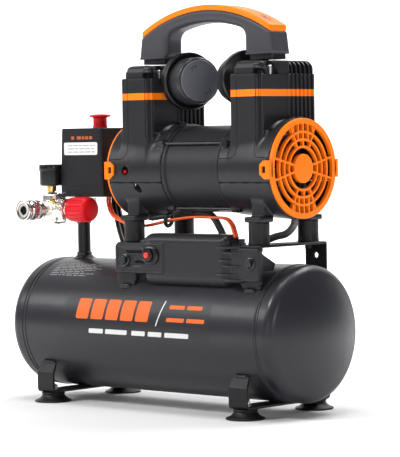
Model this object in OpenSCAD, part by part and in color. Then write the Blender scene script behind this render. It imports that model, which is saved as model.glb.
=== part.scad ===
// Twin-cylinder oil-free airbrush compressor on a small horizontal air tank.
// The origin is on the ground under the middle of the tank. X runs along the tank,
// Y across it with the controls towards -Y, and Z is up. All sizes are in millimetres.

/* [Tank] */
// Outer radius of the air tank
tank_r = 80; // [76:1:82]
// Half length of the rolled shell, from the middle to each weld seam
shell_half = 188; // [180:1:195]
// Height of the tank's axis above the ground
tank_z = 95.2; // [94:0.1:97]
// Wall thickness of the tank
tank_wall = 2; // [1.5:0.1:3]

/* [Feet] */
// Distance of each foot from the middle, along the tank
foot_x = 159; // [150:1:164]
// Distance of each foot from the middle, across the tank
foot_y = 61.5; // [58:0.5:64]
// Radius of a rubber foot where it meets the ground
foot_r = 23; // [18:1:24]

/* [Motor and pumps] */
// How far the motor sits off the middle of the tank
motor_x = 69; // [60:1:75]
// Height of the motor shaft above the ground
motor_z = 286; // [284:0.5:288]
// Radius of the stator
stator_r = 51.4; // [51:0.1:51.8]
// Half length of the stator
stator_half = 44.5; // [44:0.1:44.8]
// Outer radius of the plastic cowls
cowl_r = 59.5; // [59:0.1:60]
// Height of the joint between the upper and lower cowls
seam_z = 271; // [268:0.5:274]
// Throw of each eccentric, half of the piston stroke
throw = 4; // [3:0.1:4]
// Height of the top edge of the cylinder shrouds
shroud_top = 395.5; // [394:0.5:397]
// Height of the top of the cylinder heads
head_top = 413; // [412:0.5:413.5]

/* [Handle] */
// Middle of the carrying handle along the tank
handle_x = 63; // [62:1:66]
// Height of the top of the carrying handle
handle_top = 480; // [478:0.5:484]

/* [Controls] */
// Diameter of the red pressure knob
knob_d = 31.5; // [28:0.5:32]
// Diameter of the pressure gauge
gauge_d = 28; // [26:0.5:30]

/* [Hidden] */
$fn = 48;

charcoal = "#36373a";
black = "#1c1c1e";
orange = "#ff7f1f";
red = "#c8141e";
nickel = "#c9c6bf";
brass = "#c9a24a";
steel = "#a9abae";
alloy = "#8d8f92";

// Dished tank ends
knuckle_r = 14;
crown_r = 181;
flange_len = 14;
dish_h = 27.4;
knuckle_at = tank_r - knuckle_r;

// Threaded bosses on the tank: riser, check valve and safety valve on top, drain below
boss_r = 11;
boss_top = tank_z + tank_r + 3;
riser_at = [-162, 0];
check_at = [100, 0];
safety_at = [30, 20];
drain_at = [98, 0];
drain_bottom = 8.2;

// Foot brackets: bent straps under the tank
strap_w = 28;
strap_t = 3;
strap_z = 12;
strap_y = 75;

// Brackets on top of the tank that carry the rubber buffers
bracket_dx = 99.5;
bracket_w = 32;
bracket_t = 3;
bracket_y = 60;
bracket_top = 199.6;
buffer_y = 43.7;
buffer_r = 13;
buffer_top = 225.3;

// Pump layout, measured outwards from the middle of the motor
cowl_in = 45.5;
cowl_out = 128;
grille_out = 131.6;
cowl_t = 2.5;
shroud_in = 64.5;
shroud_out = 110.5;
shroud_y = 51.7;
bore_x = (shroud_in + shroud_out) / 2;
bore_r = 17.5;
sleeve_r = 19.5;
deck_z = motor_z + 38;
deck_t = 5;
plate_z = 372;
head_z = 376;
head_gap = 0.4;

// Drive train
shaft_r = 6;
running = 0.05;
bearing_r = 16;
eccentric_r = 12;
rod_height = 81;
crown_piston_r = bore_r - throw - 0.5;
tie_r = 54;
tie_angles = [35, 145, -59, 239];

// Where each pump's air hose leaves its lower cowl
hose_at = [103, 16];

// Filter: centre of its flange and the turn of its axis, in a pump's own frame
filter_at = [49, 2, 391];
filter_turn = 160;
flange_r = 34.5;
drum_r = 27.8;
filter_len = 36;

// Pressure switch, manifold and regulator
switch_lo = [-170, -30, 254];
switch_hi = [-98, 30, 337.5];
switch_knob_at = [-131, 0, switch_hi.z];
reg_at = [-184, -30, 237];
gauge_lo = 268;
gauge_h = 25;

// Capacitor box
box_lo = [0, -67, 151];
box_hi = [151, -44, 211];
ear_y = -69;
ear_t = 9;
bolt_z = 182;
rear_hole_z = 183;
button_at = [10, 186];

function unit(v) = v / norm(v);

// Point on a smooth curve from b to c, with a and d as its neighbours
function blend(a, b, c, d, t) =
    0.5 * (2 * b + (c - a) * t + (2 * a - 5 * b + 4 * c - d) * t * t
    + (3 * b - a - 3 * c + d) * t * t * t);

// The points of a path with more points put between them on a smooth curve
function smooth(path, steps) = let (last = len(path) - 1) [
    for (i = [0:last - 1], j = [0:steps - 1])
        blend(path[max(i - 1, 0)], path[i], path[i + 1], path[min(i + 2, last)], j / steps),
    path[last]
];

// A round tube along a path; no part of the path runs along the vector side
module tube(path, r, side, steps, sides = 8) {
    line = smooth(path, steps);
    last = len(line) - 1;
    rings = [
        for (i = [0:last], j = [0:sides - 1])
            let (
                along = unit(line[min(i + 1, last)] - line[max(i - 1, 0)]),
                u = unit(cross(side, along)),
                w = cross(along, u),
                a = 360 * j / sides
            )
            line[i] + r * (cos(a) * u + sin(a) * w)
    ];
    walls = [
        for (i = [0:last - 1], j = [0:sides - 1])
            let (
                a = i * sides + j,
                b = i * sides + (j + 1) % sides
            )
            for (face = [[a, a + sides, b + sides], [a, b + sides, b]]) face
    ];
    start_cap = [for (j = [0:sides - 1]) j];
    end_cap = [for (j = [sides - 1:-1:0]) last * sides + j];
    polyhedron(rings, concat([start_cap], walls, [end_cap]));
}

// A cylinder that runs along +X, or along +Y, from its base
module along_x(r, h) {
    rotate([0, 90, 0])
        cylinder(r = r, h = h);
}

module along_y(r, h) {
    rotate([-90, 0, 0])
        cylinder(r = r, h = h);
}

module hex_y(flats, h) {
    rotate([-90, 0, 0])
        cylinder(d = flats / cos(30), h = h, $fn = 6);
}

// A block from its low corner to its high corner
module block(lo, hi) {
    translate(lo)
        cube(hi - lo);
}

module at_feet() {
    for (x = [-foot_x, foot_x], y = [-foot_y, foot_y])
        translate([x, y, 0])
            children();
}

// The right pump faces +X; the left one is the same pump turned half round
module right_pump() {
    translate([motor_x, 0, 0])
        children();
}

module left_pump() {
    translate([motor_x, 0, 0])
        rotate([0, 0, 180])
            children();
}

module both_pumps() {
    right_pump()
        children();
    left_pump()
        children();
}

// ---- Tank ----

module dish_outline(inset) {
    top = flange_len + dish_h - inset;
    intersection() {
        union() {
            square([tank_r - inset, flange_len]);
            translate([knuckle_at, flange_len])
                circle(r = knuckle_r - inset);
            intersection() {
                translate([0, top - crown_r + inset])
                    circle(r = crown_r - inset, $fn = 200);
                square([knuckle_at + 5.5, top]);
            }
        }
        square([tank_r, top]);
    }
}

module tank_end() {
    rotate([0, 90, 0])
        rotate_extrude($fn = 96)
            difference() {
                dish_outline(0);
                dish_outline(tank_wall);
            }
}

module tank_shell() {
    color(charcoal)
        difference() {
            union() {
                translate([-shell_half, 0, tank_z])
                    along_x(tank_r, 2 * shell_half, $fn = 96);
                for (p = [riser_at, check_at])
                    translate([p.x, p.y, tank_z])
                        cylinder(r = boss_r, h = tank_r + 3);
                translate([safety_at.x, safety_at.y, tank_z])
                    cylinder(r = boss_r, h = tank_r + 1);
                translate([drain_at.x, drain_at.y, drain_bottom + 5])
                    cylinder(r = boss_r, h = tank_z - drain_bottom - 5);
            }
            translate([-shell_half - 1, 0, tank_z])
                along_x(tank_r - tank_wall, 2 * shell_half + 2, $fn = 96);
            for (p = [riser_at, check_at, safety_at])
                translate([p.x, p.y, tank_z])
                    cylinder(r = 4, h = tank_r + 4);
            translate([drain_at.x, drain_at.y, 0])
                cylinder(r = 4, h = tank_z);
        }
}

module tank_ends() {
    color(charcoal)
        for (turn = [0, 180])
            rotate([0, 0, turn])
                translate([shell_half, 0, tank_z])
                    tank_end();
}

// ---- Feet ----

// One bent strap: flat under the tank, up past each foot, then in to the tank's side
module foot_strap() {
    bend_z = 44;
    weld = [70.4, 58];
    side = [
        [strap_y, strap_z],
        [strap_y, bend_z],
        [weld.x + strap_t, weld.y],
        [weld.x, weld.y],
        [strap_y - strap_t, bend_z - 1],
        [strap_y - strap_t, strap_z]
    ];
    translate([-strap_w / 2, 0, 0])
        rotate([90, 0, 90])
            linear_extrude(strap_w)
                difference() {
                    union() {
                        translate([-strap_y, strap_z])
                            square([2 * strap_y, strap_t]);
                        for (m = [0, 1])
                            mirror([m, 0])
                                polygon(side);
                    }
                    translate([0, tank_z])
                        circle(r = tank_r + 0.02, $fn = 96);
                }
}

module foot_brackets() {
    bolt_r = 3.3;
    color(charcoal)
        for (x = [-foot_x, foot_x])
            translate([x, 0, 0])
                difference() {
                    foot_strap();
                    for (y = [-foot_y, foot_y])
                        translate([0, y, strap_z - 1])
                            cylinder(r = bolt_r, h = strap_t + 2);
                }
}

module rubber_feet() {
    color(black)
        at_feet()
            rotate_extrude()
                difference() {
                    polygon([[3.3, 0], [foot_r, 0], [foot_r, 3], [14.5, 8], [13, strap_z], [3.3, strap_z]]);
                    translate([0, -0.01])
                        square([7, 5]);
                }
}

module foot_bolts() {
    color(steel)
        at_feet() {
            translate([0, 0, 1])
                cylinder(r = 5.5, h = 3.9);
            translate([0, 0, 4.9])
                cylinder(r = 3, h = strap_z + strap_t - 4.9);
            translate([0, 0, strap_z + strap_t])
                cylinder(d = 10 / cos(30), h = 4, $fn = 6);
        }
}

// ---- Drain ----

module drain_body() {
    color(brass)
        translate([drain_at.x, drain_at.y, 0])
            difference() {
                translate([0, 0, drain_bottom])
                    cylinder(d = 17 / cos(30), h = 5, $fn = 6);
                translate([0, 0, drain_bottom - 1])
                    cylinder(r = 3.05, h = 7);
            }
}

module drain_screw() {
    color(brass)
        translate([drain_at.x, drain_at.y, 0]) {
            translate([0, 0, 3.6])
                cylinder(r = 3, h = 9);
            block([-9, -1.5, 2], [9, 1.5, 6]);
        }
}

// ---- Brackets and buffers ----

module top_bracket() {
    half = bracket_w / 2;
    lug = [[-bracket_y, 190], [-57, 190], [-34, 178], [-38, 170], [-bracket_y, 170]];
    difference() {
        union() {
            block([-half, -bracket_y, bracket_top - bracket_t], [half, bracket_y, bracket_top]);
            for (m = [0, 1])
                mirror([0, m, 0]) {
                    block([-half, -bracket_y, tank_z], [half, -bracket_y + bracket_t, bracket_top]);
                    for (x = [-half, half - bracket_t])
                        translate([x, 0, 0])
                            rotate([90, 0, 90])
                                linear_extrude(bracket_t)
                                    polygon(lug);
                }
        }
        translate([-half - 1, 0, tank_z])
            along_x(tank_r + 0.02, bracket_w + 2, $fn = 96);
        translate([0, -bracket_y - 1, bolt_z])
            along_y(3.3, bracket_t + 2);
        translate([0, bracket_y - bracket_t - 1, rear_hole_z])
            along_y(3.3, bracket_t + 2);
        for (y = [-buffer_y, buffer_y])
            translate([0, y, bracket_top - bracket_t - 1])
                cylinder(r = 4.2, h = bracket_t + 2);
    }
}

module top_brackets() {
    color(charcoal)
        for (side = [-1, 1])
            translate([motor_x + side * bracket_dx, 0, 0])
                top_bracket();
}

module rubber_buffers() {
    waist = 1;
    color(black)
        for (x = [-bracket_dx, bracket_dx], y = [-buffer_y, buffer_y])
            translate([motor_x + x, y, 0])
                rotate_extrude()
                    polygon([
                        [0, bracket_top - 8], [4, bracket_top - 8], [4, bracket_top],
                        [buffer_r, bracket_top], [buffer_r, bracket_top + 3],
                        [buffer_r - waist, bracket_top + 6], [buffer_r - waist, buffer_top - 6],
                        [buffer_r, buffer_top - 3], [buffer_r, buffer_top], [0, buffer_top]
                    ]);
}

// ---- Air lines on the tank ----

module riser_pipe() {
    color(black)
        translate([riser_at.x, riser_at.y, boss_top])
            difference() {
                cylinder(r = 7.9, h = 227 - boss_top);
                translate([0, 0, -1])
                    cylinder(r = 5, h = 240 - boss_top);
            }
}

module manifold() {
    lo = [reg_at.x - 11, -11, 227];
    hi = [riser_at.x + 12, 11, 250];
    color(nickel)
        difference() {
            union() {
                block(lo, hi);
                translate([riser_at.x, 0, hi.z])
                    cylinder(r = 8, h = switch_lo.z - hi.z);
            }
            translate([riser_at.x, 0, lo.z - 1])
                cylinder(r = 5, h = 40);
            translate([reg_at.x, lo.y - 1, reg_at.z])
                along_y(5, 12);
            translate([reg_at.x, 0, reg_at.z])
                along_x(5, riser_at.x - reg_at.x);
        }
}

module check_valve() {
    color(brass)
        translate([check_at.x, check_at.y, boss_top]) {
            cylinder(d = 17 / cos(30), h = 8, $fn = 6);
            translate([0, 0, 8])
                cylinder(r = 7.5, h = 12);
            translate([0, 0, 20])
                cylinder(d = 12 / cos(30), h = 5, $fn = 6);
            translate([7, 0, 14])
                along_x(4.2, 8);
            translate([-15, 0, 14])
                along_x(4.2, 8);
        }
}

right_hose = [[172, 16, 233], [171, 15, 220], [162, 12, 210], [148, 8, 206], [134, 3, 200],
    [122, 0.5, 192.6], [115.7, 0, 192.2]];
left_hose = [[-34, -16, 233], [-32, -15, 222], [-20, -10, 214], [10, -4, 216], [40, 0, 225],
    [58, 0, 222], [67, 0, 208], [75, 0, 194.5], [84.3, 0, 192.2]];

module discharge_hoses() {
    color(steel)
        for (path = [right_hose, left_hose])
            tube(path, 4.2, [0.2, 1, 0.1], steps = 2, sides = 10);
}

module safety_valve() {
    color(brass)
        translate([safety_at.x, safety_at.y, tank_z + tank_r + 1])
            difference() {
                union() {
                    cylinder(d = 14 / cos(30), h = 7, $fn = 6);
                    translate([0, 0, 7])
                        cylinder(r = 6, h = 14);
                }
                translate([0, 0, 2])
                    cylinder(r = 1.6, h = 20);
            }
}

module safety_ring() {
    ring_r = 8;
    color(steel)
        translate([safety_at.x, safety_at.y, tank_z + tank_r + 1]) {
            translate([0, 0, 6])
                cylinder(r = 1.5, h = 17);
            translate([0, 0, 23 + ring_r - 0.8])
                rotate([90, 0, 0])
                    rotate_extrude()
                        translate([ring_r, 0])
                            circle(r = 1);
        }
}

// ---- Pressure switch ----

module switch_base() {
    color(black)
        difference() {
            block(switch_lo, [switch_hi.x, switch_hi.y, switch_lo.z + 14]);
            block(switch_lo + [3, 3, 3], [switch_hi.x - 3, switch_hi.y - 3, switch_lo.z + 15]);
            translate([switch_knob_at.x + 10, switch_hi.y - 4, switch_lo.z + 8])
                along_y(5, 6);
        }
}

module switch_cover() {
    corner = 3;
    color(charcoal)
        difference() {
            translate([0, 0, switch_lo.z + 14])
                linear_extrude(switch_hi.z - switch_lo.z - 14)
                    union() {
                        translate([switch_lo.x + corner, switch_lo.y])
                            square([switch_hi.x - switch_lo.x - 2 * corner, switch_hi.y - switch_lo.y]);
                        translate([switch_lo.x, switch_lo.y + corner])
                            square([switch_hi.x - switch_lo.x, switch_hi.y - switch_lo.y - 2 * corner]);
                        for (x = [switch_lo.x + corner, switch_hi.x - corner],
                            y = [switch_lo.y + corner, switch_hi.y - corner])
                            translate([x, y])
                                circle(r = corner);
                    }
            block(switch_lo + [2.5, 2.5, 13], switch_hi - [2.5, 2.5, 2.5]);
            translate(switch_knob_at - [0, 0, 4])
                cylinder(r = 8.4, h = 6);
        }
}

module switch_works() {
    color(steel) {
        block([-150, -18, switch_lo.z + 3], [-112, 18, 300]);
        translate([-131, 0, 300])
            cylinder(r = 5, h = 14);
    }
}

module switch_knob() {
    color(red)
        translate([switch_knob_at.x, switch_knob_at.y, 0])
            rotate_extrude()
                polygon([
                    [0, 324], [7.9, 324], [7.9, 349.5], [11.8, 351], [12, 354], [10.5, 355], [0, 355]
                ]);
}

module cord_gland() {
    color(black)
        translate([switch_knob_at.x + 10, switch_hi.y, switch_lo.z + 8])
            difference() {
                union() {
                    hex_y(15, 5);
                    translate([0, 5, 0])
                        along_y(6.5, 8);
                }
                translate([0, -1, 0])
                    along_y(3.6, 15);
            }
}

// ---- Regulator, coupler and gauge ----

module regulator_body() {
    block_lo = reg_at - [11, 11, 18];
    block_hi = reg_at + [13, 11, 21];
    neck_x = block_hi.x + 11;
    color(nickel)
        difference() {
            union() {
                block(block_lo, block_hi);
                translate(reg_at - [0, 12, 0])
                    along_y(9.5, 31);
                translate([block_hi.x, reg_at.y, reg_at.z])
                    rotate([0, 90, 0])
                        cylinder(d = 26 / cos(30), h = 11, $fn = 6);
                translate([neck_x, reg_at.y, reg_at.z])
                    along_x(9.5, reg_at.x + 40 - neck_x);
            }
            translate([reg_at.x - 3, reg_at.y, reg_at.z + 8])
                cylinder(r = 3, h = 14);
            translate(reg_at - [0, 13, 0])
                along_y(5, 33);
            translate([reg_at.x + 34, reg_at.y, reg_at.z])
                along_x(3.05, 7);
        }
}

module regulator_knob() {
    skirt_x = reg_at.x + 33;
    face_x = reg_at.x + 66;
    flutes = 18;
    color(red)
        translate([0, reg_at.y, reg_at.z]) {
            difference() {
                translate([skirt_x, 0, 0])
                    along_x(knob_d / 2, face_x - skirt_x);
                translate([skirt_x - 1, 0, 0])
                    along_x(9.6, 10);
                for (i = [0:flutes - 1])
                    rotate([i * 360 / flutes, 0, 0])
                        translate([skirt_x + 4, 0, knob_d / 2 + 0.4])
                            along_x(1.2, 22);
            }
            translate([reg_at.x + 35, 0, 0])
                along_x(3, 8);
        }
}

coupler_x = reg_at.x;
coupler_back = reg_at.y - 12;
mouth_y = reg_at.y - 54;

module coupler_body() {
    color(nickel)
        translate([coupler_x, 0, reg_at.z])
            difference() {
                union() {
                    translate([0, coupler_back - 10, 0])
                        hex_y(17, 10);
                    translate([0, mouth_y + 1, 0])
                        along_y(9, coupler_back - 10 - mouth_y - 1);
                }
                translate([0, mouth_y, 0])
                    along_y(5.6, 20);
                translate([0, mouth_y + 19, 0])
                    along_y(3, 30);
            }
}

module coupler_sleeve() {
    length = 26;
    color(nickel)
        translate([coupler_x, 0, reg_at.z])
            difference() {
                union() {
                    translate([0, mouth_y, 0])
                        along_y(13, 5);
                    translate([0, mouth_y + 5, 0])
                        along_y(12.2, length - 5);
                }
                translate([0, mouth_y - 1, 0])
                    along_y(9.05, length + 2);
                for (i = [0:15])
                    rotate([0, i * 22.5, 0])
                        translate([0, mouth_y + 9, 12.8])
                            along_y(1, 14);
            }
}

module gauge_case() {
    rim = 1.5;
    color(black)
        translate([reg_at.x - 3, reg_at.y, gauge_lo])
            difference() {
                union() {
                    cylinder(d = gauge_d - 1, h = gauge_h - 7);
                    translate([0, 0, gauge_h - 7])
                        cylinder(d = gauge_d, h = 7);
                }
                translate([0, 0, gauge_h - 6])
                    cylinder(d = gauge_d - 2 * rim, h = 7);
                translate([0, 0, gauge_h - 12])
                    cylinder(r = 1.05, h = 7);
            }
}

module gauge_needle() {
    turn = 225;
    color(red)
        translate([reg_at.x - 3, reg_at.y, gauge_lo + gauge_h - 6]) {
            translate([0, 0, -5])
                cylinder(r = 1, h = 8);
            rotate([0, 0, turn])
                block([-3, -0.5, 1.5], [9, 0.5, 2.3]);
            translate([0, 0, 1.2])
                cylinder(r = 1.8, h = 1.4);
        }
}

module gauge_lens() {
    color([0.8, 0.9, 0.95, 0.4])
        translate([reg_at.x - 3, reg_at.y, gauge_lo + gauge_h - 2])
            cylinder(d = gauge_d - 3.04, h = 1.5);
}

module brass_fittings() {
    color(brass) {
        translate([reg_at.x - 3, reg_at.y, reg_at.z + 21]) {
            cylinder(r = 4, h = 4);
            translate([0, 0, 3])
                cylinder(d = 11 / cos(30), h = 7, $fn = 6);
        }
        translate([reg_at.x + 9.5, reg_at.y - 14, reg_at.z + 11])
            along_y(3.2, 3);
        translate([reg_at.x - 14, reg_at.y, reg_at.z])
            along_x(6, 3);
    }
}

// ---- Capacitor box ----

// The box's outline across its length: Y to the right, Z up, with its foot cut to clear the tank
module box_section(inset) {
    top_r = 12;
    foot_r = 6;
    lo = [box_lo.y + inset, box_lo.z + inset];
    hi = [box_hi.y - inset, box_hi.z - inset];
    union() {
        polygon([
            [lo.x, lo.y + foot_r], [lo.x + foot_r, lo.y], [-58.5, lo.y], [hi.x, lo.y + 13],
            [hi.x, hi.y], [lo.x + top_r, hi.y], [lo.x, hi.y - top_r]
        ]);
        intersection() {
            translate([lo.x + top_r, hi.y - top_r])
                circle(r = top_r);
            translate([lo.x, hi.y - top_r])
                square(top_r);
        }
        intersection() {
            translate([lo.x + foot_r, lo.y + foot_r])
                circle(r = foot_r);
            translate(lo)
                square(foot_r);
        }
    }
}

module extrude_box(start, length, inset) {
    translate([start, 0, 0])
        rotate([90, 0, 90])
            linear_extrude(length)
                box_section(inset);
}

module capacitor_box() {
    wall = 2.5;
    ear_left = motor_x - bracket_dx - 15;
    ear_right = motor_x + bracket_dx + 15;
    panel_right = 36;
    length = box_hi.x - box_lo.x;
    color(charcoal)
        difference() {
            union() {
                extrude_box(box_lo.x, length, 0);
                block([ear_left, ear_y, 163], [panel_right, ear_y + ear_t, 200]);
                block([box_hi.x - 5, ear_y, 159], [ear_right, ear_y + ear_t, 196]);
            }
            extrude_box(box_lo.x + wall, length - 2 * wall, wall);
            for (x = [motor_x - bracket_dx, motor_x + bracket_dx])
                translate([x, ear_y - 1, bolt_z])
                    along_y(3.3, ear_t + 2);
            translate([button_at.x, ear_y - 1, button_at.y])
                along_y(4.6, ear_t + 2);
        }
}

module capacitor() {
    color(alloy)
        translate([45, -55.5, 185])
            along_x(8.5, 80);
}

module breaker() {
    color(black)
        translate([button_at.x, 0, button_at.y])
            difference() {
                union() {
                    translate([0, ear_y, 0])
                        along_y(4.5, 8);
                    translate([0, ear_y - 3, 0])
                        along_y(8, 3);
                }
                translate([0, ear_y - 4, 0])
                    along_y(3.55, 10);
            }
}

module reset_button() {
    color(red)
        translate([button_at.x, ear_y - 6, button_at.y])
            along_y(3.5, 9);
}

module box_bolts() {
    color(steel)
        for (x = [motor_x - bracket_dx, motor_x + bracket_dx])
            translate([x, 0, bolt_z]) {
                translate([0, ear_y - 4, 0])
                    hex_y(10, 4);
                translate([0, ear_y, 0])
                    along_y(3, 15);
            }
}

// ---- Wiring that the compressor holds all the way ----

wire_path = [[-113, -6, 253.4], [-111, -8, 243], [-100, -11, 229], [-70, -17, 220],
    [-30, -27, 218], [10, -26, 225], [45, -24, 229], [80, -24, 230], [106, -30, 227],
    [120, -42, 221], [125, -50, 216], [127, -53, 212]];
cable_path = [[-122, 14, 253.4], [-120, 12, 240], [-108, 4, 226], [-90, -10, 212],
    [-62, -32, 198], [-48, -40, 190.5], [-37, -43, 188], [-27, -44.5, 187.5],
    [-16, -46.5, 188.3], [-1, -51.5, 189]];

module motor_wires() {
    color(orange)
        for (shift = [0, 4.5])
            tube([for (p = wire_path) p + [0, shift, 0]], 1.6, [0.1, 1, 0.3], steps = 1);
}

module switch_cables() {
    color(black)
        for (shift = [0, 7.5])
            tube([for (p = cable_path) p + [0, shift, 0]], 3, [0.1, 1, 0.1], steps = 1);
}

// ---- Motor ----

module stator_core() {
    color(alloy)
        translate([motor_x - stator_half, 0, motor_z])
            difference() {
                along_x(stator_r, 2 * stator_half, $fn = 72);
                translate([-1, 0, 0])
                    along_x(28, 2 * stator_half + 2);
            }
}

module windings() {
    color("#a5561e")
        both_pumps()
            translate([stator_half, 0, motor_z])
                difference() {
                    along_x(45, 14);
                    translate([-1, 0, 0])
                        along_x(30, 16);
                }
}

module end_bell() {
    rim = 4;
    wall_x = 61;
    wall_half = 30;
    difference() {
        union() {
            translate([stator_half, 0, motor_z])
                along_x(stator_r, wall_x + 4 - stator_half, $fn = 72);
            translate([wall_x, 0, motor_z])
                along_x(bearing_r + 4, 13);
            for (a = tie_angles)
                translate([cowl_in + cowl_t + 0.2, 0, motor_z])
                    rotate([a, 0, 0])
                        translate([0, tie_r, 0])
                            along_x(2.9, 10);
            for (y = [-wall_half, wall_half - rim])
                block([wall_x, y, motor_z - 30], [shroud_out - 1, y + rim, deck_z]);
            block([wall_x, -wall_half, deck_z - 0.01], [shroud_out - 3, wall_half, deck_z + deck_t]);
        }
        translate([stator_half - 1, 0, motor_z])
            along_x(stator_r - rim, wall_x - stator_half + 1, $fn = 72);
        translate([wall_x + 3, 0, motor_z])
            along_x(bearing_r, 11);
        translate([wall_x - 2, 0, motor_z])
            along_x(9, 20);
        translate([bore_x, 0, deck_z - 1])
            cylinder(r = bore_r, h = deck_t + 2);
        for (a = tie_angles)
            translate([cowl_in, 0, motor_z])
                rotate([a, 0, 0])
                    translate([0, tie_r, 0])
                        along_x(2.05, 13);
    }
}

module end_bells() {
    color(alloy)
        both_pumps()
            end_bell();
}

module main_bearings() {
    color(steel)
        both_pumps()
            translate([64, 0, motor_z])
                difference() {
                    along_x(bearing_r, 10);
                    translate([-1, 0, 0])
                        along_x(shaft_r + running, 12);
                }
}

module rotor() {
    color(steel)
        translate([motor_x - stator_half, 0, motor_z])
            difference() {
                along_x(27.5, 2 * stator_half);
                translate([-1, 0, 0])
                    along_x(shaft_r, 2 * stator_half + 2);
            }
}

// Shaft with an eccentric for each rod: the right one is down when the left one is up
module crankshaft() {
    color(steel)
        translate([motor_x, 0, motor_z]) {
            translate([-124, 0, 0])
                along_x(shaft_r, 248);
            translate([bore_x - 6, 0, -throw])
                along_x(eccentric_r, 12);
            translate([-bore_x - 6, 0, throw])
                along_x(eccentric_r, 12);
        }
}

module fan() {
    blades = 9;
    difference() {
        union() {
            along_x(11, 12);
            for (i = [0:blades - 1])
                rotate([i * 360 / blades, 0, 0])
                    translate([6, 0, 0])
                        rotate([0, 0, 35])
                            block([-6.2, -0.9, 10], [6.2, 0.9, 51]);
        }
        translate([-1, 0, 0])
            along_x(shaft_r, 14);
    }
}

module fans() {
    color(black)
        both_pumps()
            translate([111.5, 0, motor_z])
                fan();
}

// A rod with its piston in one piece, as wobble pistons are; pin_z is the eccentric's height
module rod(side, pin_z) {
    color(alloy)
        translate([motor_x + side * bore_x, 0, pin_z])
            difference() {
                union() {
                    translate([-5, 0, 0])
                        along_x(eccentric_r + 5, 10);
                    block([-4, -6, 10], [4, 6, rod_height - 4]);
                    translate([0, 0, rod_height - 6])
                        cylinder(r = crown_piston_r, h = 6);
                }
                translate([-7, 0, 0])
                    along_x(eccentric_r + running, 14);
            }
}

module rod_left() {
    rod(-1, motor_z + throw);
}

module rod_right() {
    rod(1, motor_z - throw);
}

// ---- Cylinders and heads ----

module cylinders() {
    color(alloy)
        both_pumps()
            translate([bore_x, 0, deck_z + deck_t])
                difference() {
                    cylinder(r = sleeve_r, h = plate_z - deck_z - deck_t);
                    translate([0, 0, -1])
                        cylinder(r = bore_r, h = plate_z - deck_z + 2);
                }
}

module valve_plates() {
    color(steel)
        both_pumps()
            difference() {
                block([shroud_in + cowl_t + head_gap, -30, plate_z],
                    [shroud_out - cowl_t - head_gap, 30, head_z]);
                for (y = [-8, 8])
                    translate([bore_x, y, plate_z - 1])
                        cylinder(r = 2.5, h = 6);
            }
}

module head_blank() {
    round_r = 11;
    in_x = shroud_in + cowl_t + head_gap;
    length = shroud_out - shroud_in - 2 * (cowl_t + head_gap);
    half = shroud_y - cowl_t - 2;
    corner = 3.2;
    difference() {
        union() {
            block([in_x, -half, head_z], [in_x + length, half, head_top - round_r]);
            block([in_x, -half + round_r, head_z], [in_x + length, half - round_r, head_top]);
            for (y = [-half + round_r, half - round_r])
                translate([in_x, y, head_top - round_r])
                    along_x(round_r, length);
        }
        translate([bore_x, 0, head_z - 1])
            cylinder(r = 15, h = 12);
        for (x = [in_x, in_x + length], y = [-half, half])
            translate([x, y, head_z - 1])
                rotate([0, 0, 45])
                    translate([-corner, -corner])
                        cube([2 * corner, 2 * corner, head_top - head_z + 2]);
    }
}

module cylinder_head() {
    fin_pitch = 7;
    slot = 3.6;
    difference() {
        head_blank();
        for (i = [0:5])
            block([bore_x + 4, 6 + i * fin_pitch, head_z + 8],
                [shroud_out, 6 + i * fin_pitch + slot, head_top + 1]);
        for (y = [-34, 20], x = [bore_x - 14, bore_x + 14])
            translate([x, y, head_z - 1])
                cylinder(r = 2.3, h = 60);
        translate(filter_at)
            rotate([0, 0, filter_turn])
                translate([-40, 0, 0])
                    along_x(6, 30);
    }
}

module cylinder_heads() {
    color(charcoal)
        both_pumps()
            cylinder_head();
}

module head_bolts() {
    color(steel)
        both_pumps()
            for (y = [-34, 20], x = [bore_x - 14, bore_x + 14])
                translate([x, y, 0]) {
                    translate([0, 0, head_z])
                        cylinder(r = 2.2, h = head_top - head_z);
                    translate([0, 0, head_top])
                        cylinder(r = 4, h = 3);
                }
}

// ---- Cowls ----

module shroud_outline(inset) {
    cut = 6;
    lo = [shroud_in + inset, -shroud_y + inset];
    hi = [shroud_out - inset, shroud_y - inset];
    polygon([
        [lo.x + cut, lo.y], [hi.x - cut, lo.y], [hi.x, lo.y + cut], [hi.x, hi.y - cut],
        [hi.x - cut, hi.y], [lo.x + cut, hi.y], [lo.x, hi.y - cut], [lo.x, lo.y + cut]
    ]);
}

module tie_holes() {
    for (a = tie_angles)
        translate([cowl_in - 1, 0, motor_z])
            rotate([a, 0, 0])
                translate([0, tie_r, 0])
                    along_x(2.2, cowl_t + 2);
}

module barrel_space() {
    translate([cowl_in + cowl_t, 0, motor_z])
        along_x(cowl_r - cowl_t, cowl_out, $fn = 72);
    translate([cowl_in - 1, 0, motor_z])
        along_x(stator_r + 0.1, 10, $fn = 72);
    tie_holes();
}

module upper_cowl() {
    ribs = 6;
    difference() {
        union() {
            translate([cowl_in, 0, motor_z])
                along_x(cowl_r, cowl_out - cowl_in, $fn = 72);
            translate([0, 0, motor_z])
                linear_extrude(shroud_top - motor_z)
                    shroud_outline(0);
            for (i = [0:ribs - 1])
                block([shroud_out - 1, 5 + i * 7, motor_z + 40], [shroud_out + 1.6, 8.4 + i * 7, shroud_top]);
        }
        barrel_space();
        translate([0, 0, motor_z])
            linear_extrude(shroud_top)
                shroud_outline(cowl_t);
        block([cowl_in - 1, -100, 0], [cowl_out + 1, 100, seam_z]);
        translate([102, cowl_r - 10, motor_z])
            along_y(5, 20);
        translate(filter_at)
            rotate([0, 0, filter_turn])
                translate([-40, 0, 0])
                    along_x(10, 30);
    }
}

module upper_cowl_left() {
    color(charcoal)
        left_pump()
            upper_cowl();
}

module upper_cowl_right() {
    color(charcoal)
        right_pump()
            upper_cowl();
}

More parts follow.
